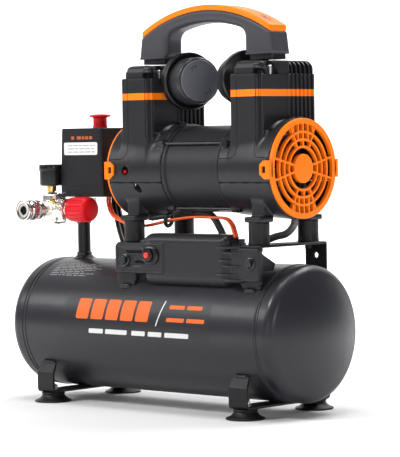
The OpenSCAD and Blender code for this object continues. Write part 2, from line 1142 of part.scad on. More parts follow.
module lower_cowls() {
    color(charcoal)
        both_pumps()
            difference() {
                union() {
                    translate([cowl_in, 0, motor_z])
                        along_x(cowl_r, cowl_out - cowl_in, $fn = 72);
                    for (y = [-buffer_y, buffer_y])
                        translate([bracket_dx, y, buffer_top])
                            cylinder(r = buffer_r + 1, h = 24);
                }
                barrel_space();
                block([cowl_in - 1, -100, seam_z], [cowl_out + 1, 100, motor_z + 100]);
                translate([hose_at.x, hose_at.y, motor_z - 60])
                    cylinder(r = 6, h = 30);
            }
}

// ---- Grilles ----

module ring_x(r, width, depth) {
    difference() {
        along_x(r, depth, $fn = 72);
        translate([-1, 0, 0])
            along_x(r - width, depth + 2, $fn = 72);
    }
}

module grille() {
    face = grille_out - cowl_out;
    tab_len = 18;
    translate([cowl_out, 0, motor_z]) {
        ring_x(57.9, 6, face);
        for (r = [43.4, 34.6, 26.2])
            ring_x(r, 2.4, face);
        along_x(16.3, face);
        for (i = [0:11])
            rotate([i * 30, 0, 0])
                block([0, -1.2, 15], [face, 1.2, 53]);
        for (side = [-1, 1])
            difference() {
                union() {
                    block([-tab_len, min(side * cowl_r, side * 61.5), -10],
                        [face, max(side * cowl_r, side * 61.5), 10]);
                    block([0, min(side * 56, side * 61.5), -10], [face, max(side * 56, side * 61.5), 10]);
                }
                block([-tab_len + 5, min(side * 50, side * 70), -4],
                    [-tab_len + 11, max(side * 50, side * 70), 4]);
            }
    }
}

module grille_left() {
    color(orange)
        left_pump()
            grille();
}

module grille_right() {
    color(orange)
        right_pump()
            grille();
}

module tie_bolts() {
    reach = 57;
    color(steel)
        translate([motor_x, 0, motor_z])
            for (a = tie_angles)
                rotate([a, 0, 0])
                    translate([-reach, tie_r, 0])
                        along_x(2, 2 * reach);
}

// ---- Intake filters ----

module at_filter() {
    translate(filter_at)
        rotate([0, 0, filter_turn])
            children();
}

module filter_bases() {
    color(black)
        both_pumps()
            difference() {
                at_filter() {
                    along_x(flange_r, 7);
                    translate([7, 0, 0])
                        ring_x(flange_r, 3, 4);
                    translate([-24, 0, 0])
                        along_x(9, 24);
                }
                block([shroud_in + cowl_t + head_gap, -60, motor_z], [cowl_out, 60, leg_foot]);
            }
}

module filter_caps() {
    color(charcoal)
        both_pumps()
            at_filter()
                translate([7, 0, 0])
                    difference() {
                        union() {
                            along_x(drum_r, filter_len - 9);
                            along_x(drum_r - 2, filter_len - 7);
                        }
                        translate([-1, 0, 0])
                            along_x(drum_r - 3, filter_len - 9);
                    }
}

// ---- Handle ----

leg_out = 102;
leg_in = 66;
leg_foot = 421;
handle_mid_y = -2;
handle_half_y = 16;
arch_r = 180;
screw_dx = 86;
cap_t = 6;

module arch(radius) {
    translate([handle_x, handle_top - arch_r])
        circle(r = radius, $fn = 200);
}

module handle_side() {
    opening_r = 22;
    opening_top = 461;
    difference() {
        polygon([
            [handle_x - leg_out, leg_foot], [handle_x - leg_out + 6, 451],
            [handle_x - leg_out + 6, handle_top], [handle_x + leg_out - 6, handle_top],
            [handle_x + leg_out - 6, 451], [handle_x + leg_out, leg_foot]
        ]);
        translate([handle_x - leg_in, leg_foot - 1])
            square([2 * leg_in, opening_top - opening_r - leg_foot + 1]);
        translate([handle_x - leg_in + opening_r, leg_foot])
            square([2 * (leg_in - opening_r), opening_top - leg_foot]);
        for (x = [handle_x - leg_in + opening_r, handle_x + leg_in - opening_r])
            translate([x, opening_top - opening_r])
                circle(r = opening_r);
    }
}

module extrude_handle(half) {
    translate([0, handle_mid_y + half, 0])
        rotate([90, 0, 0])
            linear_extrude(2 * half)
                children();
}

module handle_grip() {
    collar_in = 4;
    color(charcoal)
        difference() {
            union() {
                extrude_handle(handle_half_y)
                    intersection() {
                        handle_side();
                        arch(arch_r - cap_t);
                    }
                for (x = [handle_x - leg_out + 4, handle_x + leg_in + 4])
                    block([x, handle_mid_y - handle_half_y + collar_in, head_top],
                        [x + leg_out - leg_in - 8, handle_mid_y + handle_half_y - collar_in, leg_foot]);
            }
            for (side = [-1, 1])
                translate([handle_x + side * screw_dx, handle_mid_y, head_top - 1])
                    cylinder(r = 3.1, h = 80);
        }
}

module handle_cap() {
    color(orange)
        extrude_handle(handle_half_y)
            difference() {
                intersection() {
                    handle_side();
                    arch(arch_r);
                }
                arch(arch_r - cap_t + 0.02);
            }
}

module handle_screws() {
    color(steel)
        for (side = [-1, 1])
            translate([handle_x + side * screw_dx, handle_mid_y, head_top])
                cylinder(r = 3, h = 28);
}

tank_shell();
tank_ends();
foot_brackets();
rubber_feet();
foot_bolts();
drain_body();
drain_screw();
top_brackets();
rubber_buffers();
riser_pipe();
manifold();
check_valve();
discharge_hoses();
safety_valve();
safety_ring();
switch_base();
switch_cover();
switch_works();
switch_knob();
cord_gland();
regulator_body();
regulator_knob();
coupler_body();
coupler_sleeve();
gauge_case();
gauge_needle();
gauge_lens();
brass_fittings();
capacitor_box();
capacitor();
breaker();
reset_button();
box_bolts();
motor_wires();
switch_cables();
stator_core();
windings();
end_bells();
main_bearings();
rotor();
crankshaft();
fans();
rod_left();
rod_right();
cylinders();
valve_plates();
cylinder_heads();
head_bolts();
upper_cowl_left();
upper_cowl_right();
lower_cowls();
grille_left();
grille_right();
tie_bolts();
filter_bases();
filter_caps();
handle_grip();
handle_cap();
handle_screws();
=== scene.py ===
import math
import random

import bmesh
import bpy
import numpy as np
from mathutils import Matrix, Vector


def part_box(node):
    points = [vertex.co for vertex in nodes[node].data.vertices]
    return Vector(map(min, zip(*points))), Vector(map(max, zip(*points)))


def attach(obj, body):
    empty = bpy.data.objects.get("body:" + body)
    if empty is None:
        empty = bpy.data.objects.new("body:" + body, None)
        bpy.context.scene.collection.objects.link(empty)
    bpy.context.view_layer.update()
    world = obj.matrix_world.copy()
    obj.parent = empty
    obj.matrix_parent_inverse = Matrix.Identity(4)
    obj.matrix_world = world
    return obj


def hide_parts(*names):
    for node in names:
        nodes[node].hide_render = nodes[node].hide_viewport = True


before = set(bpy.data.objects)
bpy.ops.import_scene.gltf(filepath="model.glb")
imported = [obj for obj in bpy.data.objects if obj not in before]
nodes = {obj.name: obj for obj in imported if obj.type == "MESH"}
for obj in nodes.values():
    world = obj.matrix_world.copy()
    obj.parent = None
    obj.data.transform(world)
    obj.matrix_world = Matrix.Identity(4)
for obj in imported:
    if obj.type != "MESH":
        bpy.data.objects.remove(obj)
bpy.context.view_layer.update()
scene = bpy.context.scene
MM = 0.001


class Nodes:
    """Builds a shader tree in few words."""

    def __init__(self, name):
        self.mat = bpy.data.materials.new(name)
        self.mat.use_nodes = True
        self.tree = self.mat.node_tree
        self.shader = self.tree.nodes["Principled BSDF"]
        self.place = self.add("TexCoord").outputs["Object"]

    def put(self, node, values):
        for key, value in values.items():
            socket = node.inputs[key]
            if isinstance(value, bpy.types.NodeSocket):
                self.tree.links.new(value, socket)
            else:
                socket.default_value = value

    def add(self, kind, values=None, **settings):
        node = self.tree.nodes.new("ShaderNode" + kind)
        for key, value in settings.items():
            setattr(node, key, value)
        self.put(node, values or {})
        return node

    def noise(self, scale, detail=2.0):
        return self.add("TexNoise", {"Vector": self.place, "Scale": scale, "Detail": detail}).outputs["Fac"]

    def ranged(self, value, to_min, to_max, from_min=0.0, from_max=1.0):
        limits = {
            "Value": value, "From Min": from_min, "From Max": from_max, "To Min": to_min, "To Max": to_max
        }
        return self.add("MapRange", limits).outputs["Result"]

    def mixed(self, a, b, factor):
        return self.add("Mix", {"A": a, "B": (*b, 1), "Factor": factor}, data_type="RGBA").outputs["Result"]

    def bump(self, height, strength, distance, under=None):
        values = {"Strength": strength, "Distance": distance, "Height": height}
        if under:
            values["Normal"] = under
        return self.add("Bump", values).outputs["Normal"]


# ---------------------------------------------------------------- camera, light and floor

CAMERA_AT = (1.8895, -2.0098, 0.3215)
CAMERA_AZIMUTH = math.radians(42.68)
CAMERA_ELEVATION = math.radians(2.24)
CAMERA_ROLL = math.radians(-0.97)
FOCAL_MM = 179.8
FLOOR_GLOW = (0.0, 0.85)  # how much the floor shines under the object, and away from it
GLOW_FROM = (0.28, 0.75)  # the distances between which that changes, in metres
FLOOR_REACH = 6
CURVE_FROM, CURVE_R = 2.4, 1.5
WORLD_LIGHT = 0.08
MIDDLE = (0.02, 0, 0.25)
SOFTBOXES = (
    ("key", (-1.7, -1.6, 1.3), (1.0, 0.6), 15), ("overhead", (0.1, -0.15, 2.3), (1.0, 0.8), 20),
    ("rear", (0.3, 1.25, 2.1), (1.2, 0.9), 34), ("front", (0.9, -2.6, 0.7), (0.9, 0.9), 6),
    ("dome", (-0.68, -1.69, 2.1), (0.36, 0.36), 30), ("side", (2.4, -1.0, 0.9), (0.5, 0.5), 10)
)


def add_camera():
    az, el, roll = CAMERA_AZIMUTH, CAMERA_ELEVATION, CAMERA_ROLL
    back = Vector((math.sin(az) * math.cos(el), -math.cos(az) * math.cos(el), math.sin(el)))
    right = Vector((math.cos(az), math.sin(az), 0))
    up = back.cross(right)
    turned_right = math.cos(roll) * right + math.sin(roll) * up
    turned_up = -math.sin(roll) * right + math.cos(roll) * up
    data = bpy.data.cameras.new("camera")
    data.lens = FOCAL_MM
    data.sensor_width = 36
    data.clip_end = 50
    camera = bpy.data.objects.new("camera", data)
    scene.collection.objects.link(camera)
    turn = Matrix((turned_right, turned_up, back)).transposed().to_4x4()
    camera.matrix_world = Matrix.Translation(CAMERA_AT) @ turn
    scene.camera = camera


def add_softbox(name, at, size, power):
    data = bpy.data.lights.new(name, "AREA")
    data.shape = "RECTANGLE"
    data.size, data.size_y = size
    data.energy = power
    lamp = bpy.data.objects.new(name, data)
    scene.collection.objects.link(lamp)
    lamp.location = at
    lamp.rotation_euler = (Vector(MIDDLE) - Vector(at)).to_track_quat("-Z", "Y").to_euler()


def add_floor():
    """One pale sheet: level under the object, then curving up into a backdrop behind it."""
    back = Vector((-math.sin(CAMERA_AZIMUTH), math.cos(CAMERA_AZIMUTH), 0))
    right = Vector((math.cos(CAMERA_AZIMUTH), math.sin(CAMERA_AZIMUTH), 0))
    profile = [(-FLOOR_REACH, 0), (0, 0), (CURVE_FROM / 2, 0), (CURVE_FROM, 0)]
    turns = np.radians(range(6, 91, 6))
    profile += [(CURVE_FROM + CURVE_R * math.sin(a), CURVE_R - CURVE_R * math.cos(a)) for a in turns]
    profile.append((CURVE_FROM + CURVE_R, FLOOR_REACH))
    verts, faces = [], []
    for run, height in profile:
        for side in (-FLOOR_REACH, FLOOR_REACH):
            verts.append(back * run + right * side + Vector((0, 0, height)))
    for i in range(len(profile) - 1):
        faces.append((2 * i, 2 * i + 1, 2 * i + 3, 2 * i + 2))
    mesh = bpy.data.meshes.new("floor")
    mesh.from_pydata([tuple(v) for v in verts], [], faces)
    for f in mesh.polygons:
        f.use_smooth = True
    floor = bpy.data.objects.new("floor", mesh)
    scene.collection.objects.link(floor)
    paper = Nodes("floor_paint")
    away = paper.add("VectorMath", {0: paper.place}, operation="LENGTH").outputs["Value"]
    glow = paper.ranged(away, *FLOOR_GLOW, *GLOW_FROM)
    white = {"Base Color": (0.9, 0.9, 0.9, 1), "Roughness": 0.9, "Specular IOR Level": 0.1}
    paper.put(paper.shader, {**white, "Emission Color": (1, 1, 1, 1), "Emission Strength": glow})
    mesh.materials.append(paper.mat)


def add_world():
    world = bpy.data.worlds.new("studio")
    world.use_nodes = True
    background = world.node_tree.nodes["Background"]
    background.inputs["Color"].default_value = (1, 1, 1, 1)
    background.inputs["Strength"].default_value = WORLD_LIGHT
    scene.world = world


scene.view_settings.view_transform = "Standard"
add_camera()
add_floor()
add_world()
for softbox in SOFTBOXES:
    add_softbox(*softbox)

# ---------------------------------------------------------------- shapes, in millimetres


class Shape:
    """Points and faces in millimetres, in the object's own frame."""

    def __init__(self, verts, faces):
        self.verts = np.asarray(verts, float).reshape(-1, 3)
        self.faces = [tuple(int(i) for i in f) for f in faces]

    def __add__(self, other):
        shift = len(self.verts)
        return Shape(
            np.vstack([self.verts, other.verts]),
            self.faces + [tuple(i + shift for i in f) for f in other.faces]
        )

    def moved(self, x=0.0, y=0.0, z=0.0):
        return Shape(self.verts + np.array([x, y, z], float), self.faces)

    def turned(self, degrees, axis):
        turn = np.array(Matrix.Rotation(math.radians(degrees), 3, axis))
        return Shape(self.verts @ turn.T, self.faces)


def joined(shapes):
    total = shapes[0]
    for s in shapes[1:]:
        total = total + s
    return total


def loft(rings, closed_ends=True, looped=False):
    """Joins rings of equally many points, each ring counter-clockwise seen from the last one."""
    n = len(rings[0])
    count = len(rings)
    verts = np.vstack(rings)
    faces = []
    for i in range(count if looped else count - 1):
        a, b = i * n, ((i + 1) % count) * n
        faces += [(a + j, a + (j + 1) % n, b + (j + 1) % n, b + j) for j in range(n)]
    if closed_ends and not looped:
        faces.append(tuple(range(n - 1, -1, -1)))
        faces.append(tuple((count - 1) * n + j for j in range(n)))
    return Shape(verts, faces)


def lathe(profile, segments=64, looped=False, ripple=None):
    """Spins (radius, height) points about Z, lowest first; looped closes the profile on itself."""
    turn = np.linspace(0, 2 * math.pi, segments, endpoint=False)
    rings = []
    for r, h in profile:
        radius = max(r, 0.001) + (ripple(turn, r, h) if ripple else 0 * turn)
        rings.append(np.stack([radius * np.cos(turn), radius * np.sin(turn), 0 * turn + h], 1))
    return loft(rings, closed_ends=not looped, looped=looped)


def rod(radius, low, high, segments):
    """A plain cylinder along Z."""
    return lathe([(0, low), (radius, low), (radius, high), (0, high)], segments)


def level(outline, height):
    """An XY outline's points at one height."""
    return np.column_stack([np.array(outline, float), np.full(len(outline), height)])


def prism(outline, low, high):
    """A counter-clockwise outline in XY, from low to high along Z."""
    return loft([level(outline, h) for h in (low, high)])


def slab(x0, x1, y0, y1, low, high):
    """A plain block: a rectangle in XY, from low to high along Z."""
    return prism([(x0, y0), (x1, y0), (x1, y1), (x0, y1)], low, high)


def upright(shape):
    """Turns XY outlines with Z depth into XZ outlines whose depth runs along +Y."""
    v = shape.verts
    return Shape(np.column_stack([v[:, 0], v[:, 2], v[:, 1]]), [f[::-1] for f in shape.faces])


def across(shape):
    """Turns an XY outline with Z depth into a YZ outline whose depth runs along X."""
    v = shape.verts
    return Shape(np.column_stack([v[:, 2], v[:, 0], v[:, 1]]), shape.faces)


def along(shape, axis):
    """Lays a shape built along Z along +X or +Y."""
    return shape.turned(90, "Y") if axis == "X" else shape.turned(-90, "X")


def hexagon(flats, low, high, chamfer=0.8):
    """A hexagon bar with chamfered corners at both ends."""
    turn = np.radians(np.arange(0, 360, 5) + 30)
    hexed = flats / 2 / np.cos((turn - math.radians(30)) % math.radians(60) - math.radians(30))
    rings = []
    corner = flats / 2 * 1.155
    ends = ((low, flats / 2), (low + chamfer * 0.5, corner), (high - chamfer * 0.5, corner), (high, flats / 2))
    for h, limit in ends:
        r = np.minimum(hexed, limit)
        rings.append(np.column_stack([r * np.cos(turn), r * np.sin(turn), np.full(len(turn), h)]))
    return loft(rings)


def arc(cx, cy, radius, start, end, steps):
    turn = np.radians(np.linspace(start, end, steps))
    return [(cx + radius * math.cos(a), cy + radius * math.sin(a)) for a in turn]


def catmull(path, steps):
    """Points on the smooth curve that part of the CAD's hoses follow."""
    p = np.array(path, float)
    last = len(p) - 1
    out = []
    for i in range(last):
        a, b, c, d = p[max(i - 1, 0)], p[i], p[i + 1], p[min(i + 2, last)]
        for j in range(steps):
            t = j / steps
            curve = (2 * a - 5 * b + 4 * c - d) * t**2 + (3 * b - a - 3 * c + d) * t**3
            out.append(0.5 * (2 * b + (c - a) * t + curve))
    out.append(p[last])
    return np.array(out)


def tube(path, radius, sides=12, side=(0, 1, 0.1), relief=None):
    """A round tube along points; relief(angle, run) adds to its radius."""
    p = np.asarray(path, float)
    run = np.concatenate([[0], np.cumsum(np.linalg.norm(np.diff(p, axis=0), axis=1))])
    turn = np.linspace(0, 2 * math.pi, sides, endpoint=False)
    rings = []
    for i in range(len(p)):
        way = p[min(i + 1, len(p) - 1)] - p[max(i - 1, 0)]
        way /= np.linalg.norm(way)
        u = np.cross(side, way)
        u /= np.linalg.norm(u)
        w = np.cross(way, u)
        r = radius + (relief(turn, run[i]) if relief else 0 * turn)
        rings.append(p[i] + r[:, None] * (np.cos(turn)[:, None] * u + np.sin(turn)[:, None] * w))
    return loft(rings)


def round_rect(x0, x1, y0, y1, r, steps=5):
    """A counter-clockwise rectangle with round corners."""
    return (
        arc(x1 - r, y0 + r, r, -90, 0, steps)
        + arc(x1 - r, y1 - r, r, 0, 90, steps)
        + arc(x0 + r, y1 - r, r, 90, 180, steps)
        + arc(x0 + r, y0 + r, r, 180, 270, steps)
    )


def face_plate(y, low, high, *outline):
    """An upright plate with round corners: round_rect's values in XZ, its depth from low to high beside Y."""
    return upright(prism(round_rect(*outline), low, high)).moved(y=y)


def bent_strip(points, thickness, bend, steps=6):
    """The outline of a bent strip whose middle line runs through the points, with round bends."""
    p = [np.array(q, float) for q in points]
    line = [p[0]]
    for a, b, c in zip(p, p[1:], p[2:]):
        u, v = (a - b) / np.linalg.norm(a - b), (c - b) / np.linalg.norm(c - b)
        half = math.acos(max(-1, min(1, float(u @ v)))) / 2
        back = bend / math.tan(half)
        centre = b + (u + v) / np.linalg.norm(u + v) * bend / math.sin(half)
        start, end = b + u * back - centre, b + v * back - centre
        for i in range(steps + 1):
            t = i / steps
            spot = start * (1 - t) + end * t
            line.append(centre + spot / np.linalg.norm(spot) * bend)
    line.append(p[-1])
    left, right = [], []
    for i, q in enumerate(line):
        way = line[min(i + 1, len(line) - 1)] - line[max(i - 1, 0)]
        way = way / np.linalg.norm(way)
        side = np.array([-way[1], way[0]]) * thickness / 2
        left.append(tuple(q + side))
        right.append(tuple(q - side))
    return right + left[::-1]


def bead(start, end, radius, pitch=3.0, seed=1, sides=10, side=(0.1, 0.2, 1)):
    """A weld bead: a lumpy run of overlapping puddles between two points."""
    rng = random.Random(seed)
    a, b = np.array(start, float), np.array(end, float)
    length = float(np.linalg.norm(b - a))
    count = max(6, int(length / pitch * 8))
    lumps = [rng.uniform(-0.12, 0.16) for _ in range(count // 8 + 2)]
    path = [a + (b - a) * i / count for i in range(count + 1)]

    def relief(turn, run):
        k = run / pitch
        taper = min(1.0, 0.35 + run / (1.5 * radius), 0.35 + (length - run) / (1.5 * radius))
        lump = lumps[min(int(k), len(lumps) - 1)]
        return 0 * turn + radius * (taper * (1 + lump + 0.14 * abs(math.sin(math.pi * k))) - 1)

    return tube(path, radius, sides, side, relief)


# Rounded solids as distance fields, turned into meshes on a grid


def f_box(x, y, z, low, high, r=0.0):
    q = []
    for v, a, b in ((x, low[0], high[0]), (y, low[1], high[1]), (z, low[2], high[2])):
        q.append(np.abs(v - (a + b) / 2) - (b - a) / 2 + r)
    outside = np.sqrt(sum(np.maximum(v, 0) ** 2 for v in q))
    return outside + np.minimum(np.maximum(np.maximum(q[0], q[1]), q[2]), 0) - r


def f_disc(across, run, radius, low, high, r=0.0):
    """A solid of revolution's cylinder: across is the distance from its axis, run the place along it."""
    a = across - radius + r
    b = np.abs(run - (low + high) / 2) - (high - low) / 2 + r
    return np.sqrt(np.maximum(a, 0) ** 2 + np.maximum(b, 0) ** 2) + np.minimum(np.maximum(a, b), 0) - r


def f_join(a, b, k=0.0):
    if k <= 0:
        return np.minimum(a, b)
    h = np.maximum(k - np.abs(a - b), 0) / k
    return np.minimum(a, b) - h * h * k / 4


def f_meet(a, b, k=0.0):
    return -f_join(-a, -b, k)


def f_cut(a, b, k=0.0):
    return -f_join(-a, b, k)


def from_field(field, low, high, step, passes=4):
    """The field's zero surface: one point per crossed cell, then moved onto the surface."""
    grid = [np.arange(a - 2 * step, b + 3 * step, step) for a, b in zip(low, high)]
    x, y, z = grid[0][:, None, None], grid[1][None, :, None], grid[2][None, None, :]
    shape = tuple(len(g) for g in grid)
    f = np.ascontiguousarray(np.broadcast_to(field(x, y, z), shape)).astype(np.float64)
    inside = f < 0
    cell = np.zeros(tuple(n - 1 for n in shape), np.int8)
    corners = [(i, j, k) for i in (0, 1) for j in (0, 1) for k in (0, 1)]
    for i, j, k in corners:
        cell += inside[i : shape[0] - 1 + i, j : shape[1] - 1 + j, k : shape[2] - 1 + k]
    active = (cell > 0) & (cell < 8)
    at = np.argwhere(active)
    number = np.full(cell.shape, -1, np.int64)
    number[active] = np.arange(len(at))
    total, hits = np.zeros((len(at), 3)), np.zeros(len(at))
    for axis in range(3):
        for i, j, k in corners:
            start = np.array([i, j, k])
            if start[axis]:
                continue
            a = at + start
            b = a.copy()
            b[:, axis] += 1
            fa, fb = f[tuple(a.T)], f[tuple(b.T)]
            crossed = (fa < 0) != (fb < 0)
            t = np.where(crossed, fa / np.where(crossed, fa - fb, 1), 0)
            spot = a.astype(float)
            spot[:, axis] += t
            total += np.where(crossed[:, None], spot, 0)
            hits += crossed
    points = total / hits[:, None] * step + np.array([g[0] for g in grid])
    for _ in range(passes):
        value = field(*points.T)
        e = 0.02
        slopes = [(field(*(points + d).T) - field(*(points - d).T)) / (2 * e) for d in e * np.eye(3)]
        slope = np.stack(slopes, 1)
        size = np.maximum((slope**2).sum(1), 0.2)
        move = np.clip(value / size, -0.4 * step, 0.4 * step)
        points -= 0.8 * move[:, None] * slope
    faces = []
    for axis in range(3):
        u, v = (axis + 1) % 3, (axis + 2) % 3
        cut_a = [slice(None)] * 3
        cut_b = [slice(None)] * 3
        cut_a[axis], cut_b[axis] = slice(0, -1), slice(1, None)
        a, b = inside[tuple(cut_a)], inside[tuple(cut_b)]
        edge = np.argwhere(a != b)
        edge = edge[(edge[:, u] > 0) & (edge[:, v] > 0)]
        edge = edge[(edge[:, u] < shape[u] - 1) & (edge[:, v] < shape[v] - 1)]
        leaving = a[tuple(edge.T)]
        ring = []
        for du, dv in ((-1, -1), (0, -1), (0, 0), (-1, 0)):
            c = edge.copy()
            c[:, u] += du
            c[:, v] += dv
            ring.append(number[tuple(c.T)])
        quad = np.stack(ring, 1)
        quad[~leaving] = quad[~leaving][:, ::-1]
        faces.append(quad)
    return Shape(points, np.vstack(faces))


def make_piece(name, shape, finish, replaces=(), slot=None, body="base", bevel=0.0, sharp=38, thin=None):
    """A smooth-shaded mesh object, its sharp edges kept or bevelled; its slot, the finish's name unless given,
    is worked out but not kept.
    """
    mesh = bpy.data.meshes.new(name)
    mesh.from_pydata((shape.verts * MM).tolist(), [], shape.faces)
    mesh.validate()
    work = bmesh.new()
    work.from_mesh(mesh)
    bmesh.ops.remove_doubles(work, verts=work.verts, dist=1e-6)
    bmesh.ops.recalc_face_normals(work, faces=work.faces)
    for f in work.faces:
        f.smooth = True
    limit = math.radians(sharp)
    for e in work.edges:
        if len(e.link_faces) == 2 and e.calc_face_angle(0) > limit:
            e.smooth = False
    work.to_mesh(mesh)
    work.free()
    mesh.materials.append(finish)
    obj = bpy.data.objects.new(name, mesh)
    scene.collection.objects.link(obj)
    if thin:
        few = obj.modifiers.new("fewer_faces", "DECIMATE")
        few.ratio = thin
    if bevel:
        soften = obj.modifiers.new("bevel", "BEVEL")
        soften.width = bevel * MM
        soften.segments = 2
        soften.limit_method = "ANGLE"
        soften.angle_limit = math.radians(sharp)
        soften.harden_normals = True
    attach(obj, body)
    if slot is None:
        slot = finish.name.split(".")[0]
    if replaces:
        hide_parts(*replaces)
    return obj

# ---------------------------------------------------------------- materials


PATCH_SCALE, SMEAR_SCALE = 22, 90
EDGE_RADIUS = 0.0006
ROUGH_SPREAD = 0.08
EDGE_TURN = (0.985, 0.80)  # how far the bevelled normal leans where wear starts, and where it is full
WORN_PATCHES = (0.35, 0.6)


def paint(
    name, colour, rough, metal=0.0, spec=0.5, grain=1400.0, grain_depth=0.00004, mottle=0.12,
    wear=0.25, wear_colour=None, coat=0.0, waves=None, band=None,
):
    """A procedural finish: uneven colour and gloss, a fine grain that bumps, and wear along edges."""
    n = Nodes(name)
    shade = n.ranged(n.noise(PATCH_SCALE, 4), 1 - mottle, 1 + mottle)
    base = n.add("VectorMath", {0: colour, "Scale": shade}, operation="SCALE").outputs["Vector"]
    smears = n.noise(SMEAR_SCALE, 5)
    gloss = n.ranged(smears, max(0.03, rough - ROUGH_SPREAD), min(1.0, rough + ROUGH_SPREAD))

    soft = n.add("Bevel", {"Radius": EDGE_RADIUS}, samples=3).outputs["Normal"]
    face = n.add("NewGeometry").outputs["Normal"]
    turn = n.add("VectorMath", {0: soft, 1: face}, operation="DOT_PRODUCT").outputs["Value"]
    edge = n.ranged(turn, 0, wear, *EDGE_TURN)
    patchy = n.ranged(smears, 0, 1, *WORN_PATCHES)
    rubbed = n.add("Math", {0: edge, 1: patchy}, operation="MULTIPLY", use_clamp=True).outputs["Value"]
    worn_colour = wear_colour or [min(1, 2.2 * c + 0.03) for c in colour]
    shown = n.mixed(base, worn_colour, rubbed)
    if band:
        low, high, band_colour = band
        height = n.add("SeparateXYZ", {"Vector": n.place}).outputs["Z"]
        limits = {0: height, 1: (low + high) / 2, 2: (high - low) / 2}
        in_band = n.add("Math", limits, operation="COMPARE").outputs["Value"]
        shown = n.mixed(shown, band_colour, in_band)

    normal = n.bump(n.noise(grain, 3), 0.6, grain_depth)
    if waves:
        scale, depth, direction = waves
        values = {"Scale": scale, "Distortion": 0.6, "Vector": n.place}
        lines = n.add("TexWave", values, bands_direction=direction).outputs["Fac"]
        normal = n.bump(lines, 0.8, depth, normal)
    n.put(
        n.shader,
        {
            "Base Color": shown, "Roughness": gloss, "Normal": normal, "Metallic": metal,
            "Specular IOR Level": spec, "Coat Weight": coat, "Coat Roughness": 0.12
        }
    )
    return n.mat


def glass(name):
    n = Nodes(name)
    haze = n.ranged(n.noise(260), 0.02, 0.09)
    clear = {"Base Color": (0.95, 0.97, 0.98, 1), "Transmission Weight": 1, "IOR": 1.4}
    n.put(n.shader, {**clear, "Roughness": haze})
    return n.mat


CHARCOAL = (0.0175, 0.0180, 0.0230)
NEAR_BLACK = (0.008, 0.008, 0.009)
ORANGE = (1.0, 0.205, 0.003)
tank_paint = paint("tank_paint", CHARCOAL, 0.36, spec=0.33, grain=700, grain_depth=0.00005, coat=0.08)
bracket_paint = paint(
    "bracket_paint", (0.0132, 0.0138, 0.0154), 0.42, spec=0.26, grain=900, grain_depth=0.00008, wear=0.35
)
weld_paint = paint("weld_paint", (0.0165, 0.0171, 0.0187), 0.36, spec=0.33, grain=420, grain_depth=0.0003)
cowl_plastic = paint("cowl_plastic", (0.0143, 0.0143, 0.0176), 0.36, spec=0.28, grain=2200, grain_depth=0.00003)
head_black = paint("head_black", (0.0121, 0.0121, 0.0145), 0.38, spec=0.30, grain=800, grain_depth=0.0001)
stator_paint = paint("stator_paint", (0.0154, 0.0154, 0.0182), 0.45, spec=0.26, grain=1600, grain_depth=0.00005)
grip_plastic = paint("grip_plastic", (0.0467, 0.0475, 0.0560), 0.42, spec=0.28, grain=2400, grain_depth=0.00003)
filter_plastic = paint("filter_plastic", (0.0273, 0.0273, 0.0319), 0.36, spec=0.30, grain=2200)
ring_plastic = paint("ring_plastic", (0.0088, 0.0088, 0.0099), 0.32, spec=0.33, grain=2200)
box_plastic = paint("box_plastic", (0.0165, 0.0165, 0.0200), 0.36, spec=0.28, grain=2200)
switch_plastic = paint("switch_plastic", (0.0081, 0.0081, 0.0099), 0.40, spec=0.28, grain=2400)
gauge_plastic = paint("gauge_plastic", (0.0066, 0.0066, 0.0072), 0.25, spec=0.33, grain=2400)
foot_rubber = paint("foot_rubber", NEAR_BLACK, 0.48, spec=0.30, grain=1500, grain_depth=0.00008, mottle=0.25)
black_cable = paint("black_cable", (0.0055, 0.0055, 0.0060), 0.32, spec=0.33, grain=2000)
black_pipe = paint("black_pipe", (0.0088, 0.0088, 0.0099), 0.30, spec=0.33, grain=1200)
# near-black for the fans, and painted shade behind the cowls' round holes
fan_and_shade_black = paint("fan_and_shade_black", (0.0055, 0.0055, 0.0060), 0.5, spec=0.20, grain=1500)
orange_plastic = paint(
    "orange_plastic", ORANGE, 0.42, spec=0.2, grain=2400, mottle=0.05, wear=0.25, wear_colour=(1.0, 0.34, 0.05)
)
orange_wire = paint("orange_wire", (0.80, 0.10, 0.012), 0.33, spec=0.5, grain=1500, mottle=0.1)
red_plastic = paint(
    "red_plastic", (0.66, 0.006, 0.014), 0.36, spec=0.22, grain=2000, mottle=0.08, wear=0.3,
    wear_colour=(0.9, 0.06, 0.07)
)
button_red = paint("button_red", (0.85, 0.03, 0.02), 0.25, spec=0.5, grain=2000, mottle=0.05)
nickel = paint(
    "nickel", (0.86, 0.83, 0.78), 0.26, metal=1, grain=1800, grain_depth=0.00002, mottle=0.06, wear=0.2,
    wear_colour=(0.95, 0.93, 0.9)
)
zinc = paint("zinc", (0.60, 0.61, 0.64), 0.26, metal=1, grain=1500, mottle=0.15, wear=0.2)
brass = paint(
    "brass", (0.78, 0.52, 0.16), 0.20, metal=1, grain=1600, mottle=0.1, wear=0.25,
    wear_colour=(0.95, 0.74, 0.36)
)
steel = paint("steel", (0.52, 0.53, 0.55), 0.28, metal=1, grain=1400, mottle=0.12)
copper = paint("copper", (0.62, 0.25, 0.10), 0.32, metal=1, grain=1200, waves=(260, 0.0004, "X"))
alloy = paint("alloy", (0.40, 0.41, 0.43), 0.45, metal=0.9, grain=500, grain_depth=0.0002, mottle=0.2)
braid = paint("braid", (0.11, 0.11, 0.115), 0.38, metal=0.4, grain=3000, grain_depth=0.00006)
dial_white = paint("dial_white", (0.80, 0.80, 0.78), 0.5, grain=2000, mottle=0.04)
needle_red = paint("needle_red", (0.62, 0.02, 0.02), 0.35, grain=2000)
label_grey = paint("label_grey", (0.0242, 0.0248, 0.0275), 0.36, spec=0.28, grain=2000, mottle=0.05)
label_white = paint("label_white", (0.74, 0.74, 0.74), 0.45, grain=2000, mottle=0.03, wear=0.1)
